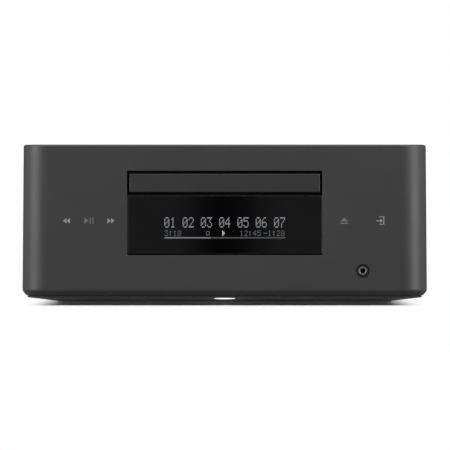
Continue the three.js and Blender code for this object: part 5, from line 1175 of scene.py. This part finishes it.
def makeUsb(shape, x, z):
    # shell with a tongue that carries the contacts
    p, back, w, half = usb, usb["shell"], usb["tongue"], usb["contact"]
    outer = tile((x, z), p["outer"], 0.7, 4)
    shape.tube(outer, tile((x, z), p["inner"], 0.35, 4), back, p["face"])
    shape.prism(outer, "y", p["rear"], back + 0.2)
    shape.block((x - w, back + 0.1, z + 0.1), (x + w, p["face"] - 0.9, z + 2.0), 1)
    for k in range(p["contacts"]):
        u = x + (k - (p["contacts"] - 1) / 2) * p["pitch"]
        shape.block((u - half, back + 3, z - 0.05), (u + half, p["face"] - 1.5, z + 0.2), 2)


optical = {"flange": (8.4, 7.5), "face": 138.5, "body": (6.6, 5.8), "hole": (4.2, 4.2)}
optical |= {"rear": 124.1, "floor": 128.5}
opticalPin = [(0, 128.4), (1.1, 128.4), (1.1, 131.5), (0.7, 131.9), (0, 131.9)]


def makeOptical(shape, x, z):
    p = optical
    flange, body = tile((x, z), p["flange"], 0.8, 4), tile((x, z), p["body"], 0.8, 4)
    hole = tile((x, z), p["hole"], 0.7, 4)
    shape.tube(flange, hole, flangeStart, p["face"])
    shape.tube(body, hole, p["floor"], flangeStart + 0.1)
    shape.prism(body, "y", p["rear"], p["floor"] + 0.1)
    shape.turned(opticalPin, (x, z), "y", 24, 1)


inlet = {"lobe": 4.3, "neck": 2.8, "half": (13.5, 9.5), "face": 137.9, "body": (0.82, 0.75)}
inlet |= {"rear": 120.1, "floor": 126.0}
inletPin = [(0, 136.3), (0.6, 136.3), (1.0, 136.0), (1.15, 135.5), (1.15, 126.0), (0, 126.0)]


def makeInlet(shape, x, z):
    # figure-of-eight mouth with two pins
    p, r, (w, h), (shareX, shareZ) = inlet, inlet["lobe"], inlet["half"], inlet["body"]
    edge = math.degrees(math.asin(p["neck"] / r))
    sweep = 360 - 2 * edge
    mouth = circle((x + r, z), r, 17, edge - 180, sweep) + circle((x - r, z), r, 17, edge, sweep)
    rim = []
    for u, v in mouth:
        # the point of the flange's edge in the same direction
        k = max(abs(u - x) / w, abs(v - z) / h)
        rim.append((x + (u - x) / k, z + (v - z) / k))
    shape.tube(rim, mouth, flangeStart, p["face"])
    back = [(x + (u - x) * shareX, z + (v - z) * shareZ) for u, v in rim]
    shape.tube(back, mouth, p["floor"], flangeStart + 0.1)
    shape.prism(back, "y", p["rear"], p["floor"] + 0.1)
    for sign in (-1, 1):
        shape.turned(inletPin, (x + sign * r, z), "y", 24, 1)


# (radius, y) of the coloured ring, shell, core and contact of a phono socket
phonoRing = [(4.15, 137.2), (5.6, 137.2), (5.6, 137.9), (5.2, 138.3), (4.15, 138.3)]
phonoShell = [(3.3, 145.5), (3.5, 145.8), (3.9, 145.8), (4.1, 145.55), (4.1, 137.0), (3.3, 137.0)]
phonoCore = [(1.65, 144.6), (3.28, 144.6), (3.28, 137.2), (1.65, 137.2)]
phonoContact = [(1.2, 144.2), (1.62, 144.2), (1.62, 138.0), (1.2, 138.0)]


def makePhono(shape, x, z):
    w, h = phono["body"]
    shape.prism(tile((x, z), phono["half"], 2.0), "y", flangeStart, phono["face"])
    shape.bar((x - w, z - h), (x + w, z + h), "y", phono["rear"], blockEnd)
    for place in around((x, z), phono["aside"], phono["up"]):
        colour = 2 if place[0] > x else 3
        shape.turned(phonoRing, place, "y", 40, colour, True)
        shape.turned(phonoShell, place, "y", 40, 1, True)
        shape.turned(phonoCore, place, "y", 40, colour, True)
        shape.turned(phonoContact, place, "y", 32, 4, True)
        shape.turned([(0, 138.2), (1.22, 138.2), (1.22, 138.0), (0, 138.0)], place, "y", 24, 4)


thread = {"start": 138.6, "end": 144.2, "pitch": 0.6, "crest": 4.6, "root": 4.3, "nut": 6.6}


def makeAerialSocket(shape, x, z):
    # threaded barrel behind a hexagon
    shape.prism(circle((x, z), thread["nut"], 6, 30), "y", flangeStart, flangeStart + 2)
    profile = [(0, 130.2), (4.2, 130.2), (4.2, 137.0), (4.6, 138.0)]
    y = thread["start"]
    while y < thread["end"]:
        profile += [(thread["crest"], y), (thread["root"], y + thread["pitch"] / 2)]
        y += thread["pitch"]
    profile += [(4.45, 144.7), (4.2, 145.1), (3.6, 145.1), (3.5, 144.4), (0, 144.4)]
    shape.turned(profile, (x, z), "y")
    shape.turned([(1.05, 144.5), (1.9, 144.5), (1.9, 144.3), (1.05, 144.3)], (x, z), "y", 32, 1, True)
    shape.turned([(0, 144.42), (1.0, 144.42), (1.0, 144.38), (0, 144.38)], (x, z), "y", 24, 2)


# half width and half height of the printed frames
printFrames = {"terminals": (40.5, 15.0), "inlet": (15.6, 12.2), "rca": (18.0, 20.0), "optical": (10.6, 10.2)}
# arrows show which way the sound goes at the phono sockets and the optical input
printArrows = [(95.1, 61.2, 1), (50.3, 42.6, -1)]
frameLine = 0.35


def makeSockets():
    inner = "inner_plastic"
    for build, item, name, node, slotName, paints in (
        (makeLan, "lan", "network_port", "network_socket", "steel", "nickel gold screw"),
        (makeUsb, "usb", "usb_port", "usb_socket", "steel", "nickel socket gold"),
        (makeOptical, "optical", "optical_port", "optical_input", inner, "socket ringRed"),
        (makeInlet, "inlet", "mains_port", "mains_inlet", inner, "socket nickel"),
        (makePhono, "rca", "phono_port", "phono_sockets", inner, "socket nickel ringRed ringWhite gold"),
        (makeAerialSocket, "fm", "aerial_port", "aerial_socket", "steel", "nickel ringWhite socket"),
    ):
        shape = Shape()
        build(shape, *rear[item])
        piece(name, shape, paints, slotName, node, bevel=0.12)
    start, end = panel["outer"] - 0.02, panel["outer"] + 0.03
    lines = Shape()
    for item, (w, h) in printFrames.items():
        inner = tile(rear[item], (w - frameLine, h - frameLine), 2.25)
        lines.tube(tile(rear[item], (w, h), 2.6), inner, start, end)
    for x, z, turn in printArrows:
        foot, tip = z - turn * 0.8, z + turn * 1.2
        lines.prism([(x - 1.3, foot), (x + 1.3, foot), (x, tip)], "y", start, end)
    piece("panel_print", lines, "printFaint", "white_plastic")


# folding aerials: a swivel base with two cheeks, and a flat rod on a pin between them

aerial = {
    "back": 130.0,
    "stem": 2.9,
    "seat": 136.2,
    "baseRadius": 5.6,
    "baseEnd": 139.1,
    "cheekIn": 2.4,
    "cheekOut": 4.2,
    "cheekRadius": 3.6,
    "pin": 1.2,
    "pinY": 144.7,
    "eye": 3.4,
    # (distance below the pin, half width, half thickness) down the rod
    "rod": [(4.2, 2.0, 2.1), (5.6, 2.6, 2.6), (7.2, 3.9, 2.95), (9.6, 4.28, 3.0), (60.0, 3.65, 2.75)]
    + [(82.6, 3.2, 2.3), (84.6, 2.9, 2.0), (85.4, 2.3, 1.5), (85.6, 1.6, 1.0)],
}


def makeAerial(side, sign):
    a = aerial
    x, z = sign * rear["aerial"][0], rear["aerial"][1]
    pin, r, end, cheek = (a["pinY"], z), a["baseRadius"], a["baseEnd"], a["cheekRadius"]
    profile = [(0, a["back"]), (a["stem"], a["back"]), (a["stem"], a["seat"]), (r, a["seat"]), (r, end - 0.7)]
    profile += [(r - 0.25, end - 0.25), (r - 0.8, end), (0, end)]
    stem = toObject("stem", Shape().turned(profile, (x, z), "y"), "socket")
    outline = [(end - 0.3, z - cheek)] + circle(pin, cheek, 20, -90, 180) + [(end - 0.3, z + cheek)]
    cheeks = Shape()
    for u in (-1, 1):
        cheeks.prism(outline, "x", *sorted((x + u * a["cheekIn"], x + u * a["cheekOut"])))
    forks = toObject("forks", cheeks, "socket")
    carve(forks, Shape().prism(circle(pin, a["pin"] + 0.1, 28), "x", x - 6, x + 6))
    swivel, node = merge("aerial_swivel_" + side, [stem, forks]), "aerial_base_" + side
    piece("", swivel, "", "inner_plastic", node, body=node, bevel=0.18)

    rings = []
    for down, wide, thick in reversed(a["rod"]):
        outline = tile((x, a["pinY"]), (wide, thick), min(thick, wide) * 0.55, 4)
        rings.append([(u, v, z - down) for u, v in outline])
    rod = Shape().loft(rings)
    half, r = a["cheekIn"] - 0.3, a["eye"]
    eye = [(r - 0.25, x - half), (r, x - half + 0.25), (r, x + half - 0.25), (r - 0.25, x + half)]
    rod.turned(eye, pin, "x", 40)
    half = a["cheekOut"] - 0.1
    rod.turned([(a["pin"], x - half), (a["pin"], x + half)], pin, "x", 24)
    rod.prism(tile((x, a["pinY"]), (a["cheekIn"] - 0.3, 2.15), 0.5, 3), "z", z - 6.0, z)
    node = "aerial_" + side
    piece("aerial_rod_" + side, rod, "socket", "inner_plastic", node, body=node, sharpAngle=50)


def makeAerials():
    for side, sign in sides.items():
        makeAerial(side, sign)


# disc drawer: two wells, finger notches, rails and the rack under its edge

drawer = {
    "half": 63.5,
    "frontY": -147.9,
    "rearY": 22.85,
    "corner": 0.9,
    "railBottom": 79.5,
    "deckBottom": 82.4,
    "top": 88.6,
    "well": (60.75, 85.0),  # radius and floor
    "smallWell": (40.75, 83.6),
    "hub": 19.0,
    "slotHalf": 24.0,
    "notch": (11.0, 84.1, 62.3),  # radius, floor and the greatest distance from the middle
    "rail": 4.5,
}
rack = {"pitch": math.pi, "teeth": 47, "firstY": -127.84, "back": -59.05, "low": 79.5}
rack |= {"root": -55.4, "tip": -53.25, "rootHalf": 1.115, "tipHalf": 0.332}
discY = -79.15


def makeDrawer():
    d, r = drawer, rack
    half, low, high, joint = d["half"], d["deckBottom"], d["top"], d["deckBottom"] + 0.05
    outline = rounded((-half, d["frontY"]), (half, d["rearY"]), d["corner"], 4)
    deck = toObject("deck", Shape().prism(outline, "z", low, high), "inner")
    slot, end = d["slotHalf"], d["rearY"] + 3
    cuts = [(circle((0, discY), radius, 180), floor) for radius, floor in (d["well"], d["smallWell"])]
    cuts += [(circle((0, discY), d["hub"], 96), low - 3)]
    cuts += [([(-slot, discY), (slot, discY), (slot, end), (-slot, end)], low - 3)]
    radius, floor, keep = d["notch"]
    for sign in (-1, 1):
        finger = circle((sign * d["well"][0], discY), radius, 64)
        cuts += [([(max(-keep, min(keep, x)), y) for x, y in finger], floor)]
    for outline, floor in cuts:
        carve(deck, Shape().prism(outline, "z", floor, high + 3))
    under = Shape()
    for sign in (-1, 1):
        x0, x1 = sorted((sign * half, sign * (half - d["rail"])))
        under.block((x0, d["frontY"], d["railBottom"]), (x1, d["rearY"], joint))
    y0, y1 = r["firstY"] - r["pitch"] / 2, r["firstY"] + (r["teeth"] - 0.5) * r["pitch"]
    under.block((r["back"], y0, r["low"]), (r["root"] + 0.01, y1, joint))
    rails = toObject("rails", under, "inner")
    root, tip, w, t = r["root"], r["tip"], r["rootHalf"], r["tipHalf"]
    tooth = Shape().prism([(root, -w), (tip, -t), (tip, t), (root, w)], "z", r["low"], joint)
    places = {"Start": metres(0, r["firstY"], 0), "Step": metres(0, r["pitch"], 0)}
    places |= {"Count": r["teeth"], "Rows": 1, "RowStep": metres(0, 0, 0)}
    teeth = repeated("rack_teeth", tooth, "row", "inner", **places)
    tray = merge("disc_drawer", [deck, rails, teeth])
    piece("", tray, "", "inner_plastic", "disc_tray", body="tray", bevel=0.3)


# turntable, clamp puck and pickup; profiles are (radius, height) round the disc's axis

disc = {"seat": 86.4, "hub": 7.3, "hubTop": 88.8, "fingers": 6}
tableProfile = [(0, 70.9), (1.5, 70.9), (1.5, 83.9), (14.7, 83.9), (15.0, 84.2), (15.0, 86.0), (14.6, 86.4)]
tableProfile += [(14.2, 86.4), (14.1, 86.15), (9.6, 86.15), (9.5, 86.4), (7.3, 86.4), (7.3, 87.9), (7.05, 88.3)]
tableProfile += [(6.4, 88.8), (3.2, 88.8), (3.1, 88.3), (0, 88.3)]
tableMat = [(9.65, 86.1), (14.05, 86.1), (14.05, 86.38), (9.65, 86.38)]
puckProfile = [(0, 90.5), (8.2, 90.5), (8.2, 88.1), (8.4, 87.9), (12.2, 87.9), (12.8, 88.5), (12.8, 97.6)]
puckProfile += [(15.8, 97.6), (16.0, 97.8), (16.0, 98.7), (15.7, 99.0), (9.2, 99.0), (9.1, 98.6), (0, 98.6)]
puckPlate = [(1.4, 98.58), (8.9, 98.58), (8.9, 98.85), (1.4, 98.85)]
sled = {"front": -69.15, "rear": -39.15, "low": 78.1, "high": 82.9, "half": 19.0, "lensY": -55.15}
# the housing under the sled, and its arm with the nut
sledBoxes = [((-14, -64.15, 72.6), (14, -44.15, 78.4)), ((18.7, -58.65, 78.1), (29.4, -49.65, 80.5))]
sledBoxes += [((24.6, -58.65, 76.35), (29.4, -49.65, 78.4))]
# x and z of the two rods' bores and the screw's, their radius, and the lens
sledBores, boreRadius = [(-15, 80.5), (15, 80.5), (27, 76.35)], 1.8
lensBarrel = [(2.6, 82.9), (4.0, 82.9), (4.0, 84.3), (3.6, 84.7), (2.75, 84.7), (2.6, 84.5)]
lensDome = {"radius": 2.58, "foot": 83.2, "edge": 84.05, "rise": 0.65}


def makeTurntable():
    seat, hub, top = disc["seat"], disc["hub"], disc["hubTop"]
    table = Shape().turned(tableProfile, (0.0, discY), "z", 96)
    table.turned(tableMat, (0.0, discY), "z", 96, 1, True)
    plate = toObject("plate", table, "socket rubber")
    finger = Shape().block((hub - 0.1, -0.9, seat), (hub + 0.16, 0.9, top - 1.0))
    places = {"Count": disc["fingers"], "Centre": metres(0, discY, 0), "Axis": (0.0, 0.0, 1.0)}
    fingers = repeated("hub_fingers", finger, "ring", "acetal", **places)
    turn = merge("disc_turntable", [plate, fingers])
    piece("", turn, "", "inner_plastic", "turntable", body="turntable")
    clamp = Shape().turned(puckProfile, (0.0, discY), "z", 96)
    clamp.turned(puckPlate, (0.0, discY), "z", 72, 1, True)
    piece("disc_clamp", clamp, "inner steel", "inner_plastic", "clamp_puck", body="clamp_puck")


def makePickup():
    s = sled
    front, rear, low, high, half = s["front"], s["rear"], s["low"], s["high"], s["half"]
    body = Shape().prism(rounded((-half, front), (half, rear), 1.6, 5), "z", low, high)
    for box in sledBoxes:
        body.block(*box)
    # the cut faces of the bores and of the lens opening take the near-black recess finish: painted shade
    carriage = toObject("carriage", body, "inner recess")
    bores = Shape()
    for place in sledBores:
        bores.prism(circle(place, boreRadius, 32), "y", front - 3, rear + 3)
    carve(carriage, bores, 1, joined=True)
    eye = (0.0, s["lensY"])
    carve(carriage, Shape().prism(tile(eye, (8.5, 8.5), 2.0, 5), "z", high - 1.6, high + 3), 1)
    optics = Shape().prism(tile(eye, (6.4, 5.6), 1.4, 5), "z", high - 1.5, high + 0.25)
    optics.turned(lensBarrel, eye, "z", 56, 0, True)
    r, foot, edge, rise = lensDome.values()
    slices = [math.radians(a) for a in range(0, 91, 15)]
    dome = [(0, foot), (r, foot)] + [(r * math.cos(a), edge + rise * math.sin(a)) for a in slices]
    optics.turned(dome, eye, "z", 48, 1)
    head = merge("laser_head", [carriage, toObject("actuator", optics, "socket lensGlass")])
    piece("", head, "", "inner_plastic", "optical_pickup", body="pickup", bevel=0.15)


# carried-over solids keep their shape and take a finish of their own

carried = {
    "inner": "top_cover mechanism_frame",
    # the window bezel, seen in the gaps round the door, takes the near-black recess finish: painted shade
    "recess": "window_bezel",
    "socket": "fan_frame fan_rotor optical_flap",
    "coil": "transformer",
    "capBlack": "filter_capacitor",
    "anodised": "heat_sink",
    "steel": "mechanism_stand_left mechanism_stand_right clamp_bridge traverse_frame"
    + " loading_motor spindle_motor sled_motor",
    "belt": "drive_belt",
    "acetal": "tray_gear pulley_gear motor_pulley cam_slider",
    "nickel": "guide_rod_left guide_rod_right sled_screw",
    "board plain": "touch_sensor_board",
    "board main": "main_board",
    "board power": "power_board",
    "board amplifier": "amplifier_board",
    "board display": "display_module",
}


def paintCarried():
    for finish, nodes in carried.items():
        for node in nodes.split():
            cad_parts[node].material_slots[0].material = finishes[finish]


# floor, lamps and the surroundings that the gloss reflects

studio = {
    # tone at which the camera sees the floor inside shadowHalf, greyer than the white beyond: painted shadow
    # round the object
    "paintedShadowTone": 0.66,
    "floorNear": 0.95,
    "floorBounce": 0.06,
    "floorGlossy": 0.3,
    "floorReach": 2.6,
    "sheetHalf": (0.124, 0.136),
    "sheetFade": 0.012,
    "shadowHalf": (0.113, 0.19),
    "shadowFade": 0.028,
    "roomLevel": 0.42,
    # share of a direction that points aside at which each dark flag ends
    "flagNarrow": (0.001, 0.0095),
    "flagWide": (0.02, 0.14),
    "flagRear": (0.15, 0.85),
    "flagShine": (0.5, 1.0),
}
# place, turn in degrees, size, power, and whether the polished pieces mirror it
lamps = {
    "lamp_left": ((-1.5, -0.85, 0.5), (0, -82, 0), (1.3, 1.1), 28.0, True),
    "lamp_right": ((1.5, -0.85, 0.5), (0, 82, 0), (1.3, 1.1), 28.0, True),
    "lamp_top": ((0, -0.1, 1.7), (0, 0, 0), (1.6, 1.2), 10.0, True),
    "lamp_front": ((0, -0.65, 0.75), (38, 0, 0), (1.8, 0.4), 5.0, True),
    "lamp_rear": ((0, 1.9, 1.8), (-48, 0, 0), (1.8, 0.9), 30.0, False),
}


def makeFloor():
    s = studio
    mesh = bpy.data.meshes.new("floor")
    mesh.from_pydata([(x, y, 0) for x, y in circle((0, 0), s["floorReach"], 64)], [], [tuple(range(64))])
    paper = Finish("pale_floor")
    seen = paper.ray("Camera") + paper.ray("Transmission")

    def beyond(half, fade):
        # 0 inside a rectangle round the object, rising to 1 outside it
        outX = (paper.axis("X").size() - half[0]).most(0.0)
        outY = (paper.axis("Y").size() - half[1]).most(0.0)
        return paper.limit((outX * outX + outY * outY) ** 0.5, 0.0, fade)

    # a white sheet lies under the object; past it the bounce stays low, as over a dark table. The camera sees
    # white paper beyond a rectangle round the object, and inside it a greyer floor: painted shadow round the
    # object, over its real shadow
    far = beyond(s["sheetHalf"], s["sheetFade"])
    plain = s["floorBounce"] + paper.ray("Glossy") * (s["floorGlossy"] - s["floorBounce"])
    plain = s["floorNear"] + far * (plain - s["floorNear"])
    tone = plain + seen * (s["paintedShadowTone"] - plain)
    colour = paper.mixed(tone, grey(0.0), grey(1.0))
    matt = paper.add("ShaderNodeBsdfDiffuse", {}, {"Color": colour, "Roughness": 0.0})
    white = paper.add("ShaderNodeEmission", {}, {"Color": grey(1.0), "Strength": 1.0})
    # inside this rectangle the camera sees the greyer floor instead of white: painted shadow
    away = beyond(s["shadowHalf"], s["shadowFade"])
    mixed = paper.add("ShaderNodeMixShader", {}, {0: seen * away, 1: matt, 2: white})
    paper.add("ShaderNodeOutputMaterial", {}, {"Surface": mixed})
    mesh.materials.append(paper.material)
    placed("floor", mesh)


def makeLamps():
    for name, (place, turn, size, power, shiny) in lamps.items():
        data = bpy.data.lights.new(name, "AREA")
        data.shape = "RECTANGLE"
        data.size, data.size_y = size
        data.energy = power
        lamp = placed(name, data)
        lamp.location = place
        lamp.rotation_euler = tuple(math.radians(a) for a in turn)
        lamp.visible_camera = False
        lamp.visible_glossy = shiny


def makeWorld():
    world = bpy.data.worlds.new("studio_room")
    scene.world = world
    world.use_nodes = True
    room = Nodes(world.node_tree)
    room.place = room.add("ShaderNodeTexCoord", out="Generated")
    aside = room.axis("X").size()
    ahead = room.limit(room.axis("Y"), -0.3, 0.3, 1.0, 0.0)
    above = room.limit(room.axis("Z"), 0.1, 0.95, 0.0, 0.6)

    def flag(name, dark):
        return room.limit(aside, *studio[name], dark, 1.0)

    # dark flags stand behind the camera and behind the object, so that the window stays deep black
    # in its middle and the outline of the cabinet stays dark
    seen = room.ray("Camera").most(room.ray("Transmission"))
    glossy = room.ray("Glossy")
    level = studio["roomLevel"]
    behind = flag("flagShine", 0.05).most(above) * glossy + flag("flagRear", 0.12) * (1.0 - glossy) * level
    front = flag("flagNarrow", 0.05) * flag("flagWide", 0.5)
    level = ahead * front * level + (1.0 - ahead) * behind
    strength = level * (1.0 - seen) + seen
    air = room.add("ShaderNodeBackground", {}, {"Color": grey(1.0), "Strength": strength})
    room.add("ShaderNodeOutputWorld", {}, {"Surface": air})


for make, done in (
    (makeCabinet, "cabinet"),
    (makeTop, "top plate"),
    (makeBase, "base"),
    (makeWindow, "window and door"),
    (makeDisplay, "display"),
    (makeSymbols, "front symbols"),
    (makeJack, "headphone socket"),
    (makePanel, "rear panel"),
    (makeTerminals, "speaker terminals"),
    (makeSockets, "rear sockets"),
    (makeAerials, "aerials"),
    (makeDrawer, "disc drawer"),
    (makeTurntable, "turntable and clamp"),
    (makePickup, "pickup"),
    (paintCarried, "finishes of the carried-over solids"),
    (makeFloor, "floor"),
    (makeLamps, "lamps"),
    (makeWorld, "surroundings"),
):
    make()
    print("made:", done)

scene.view_settings.view_transform = "Standard"
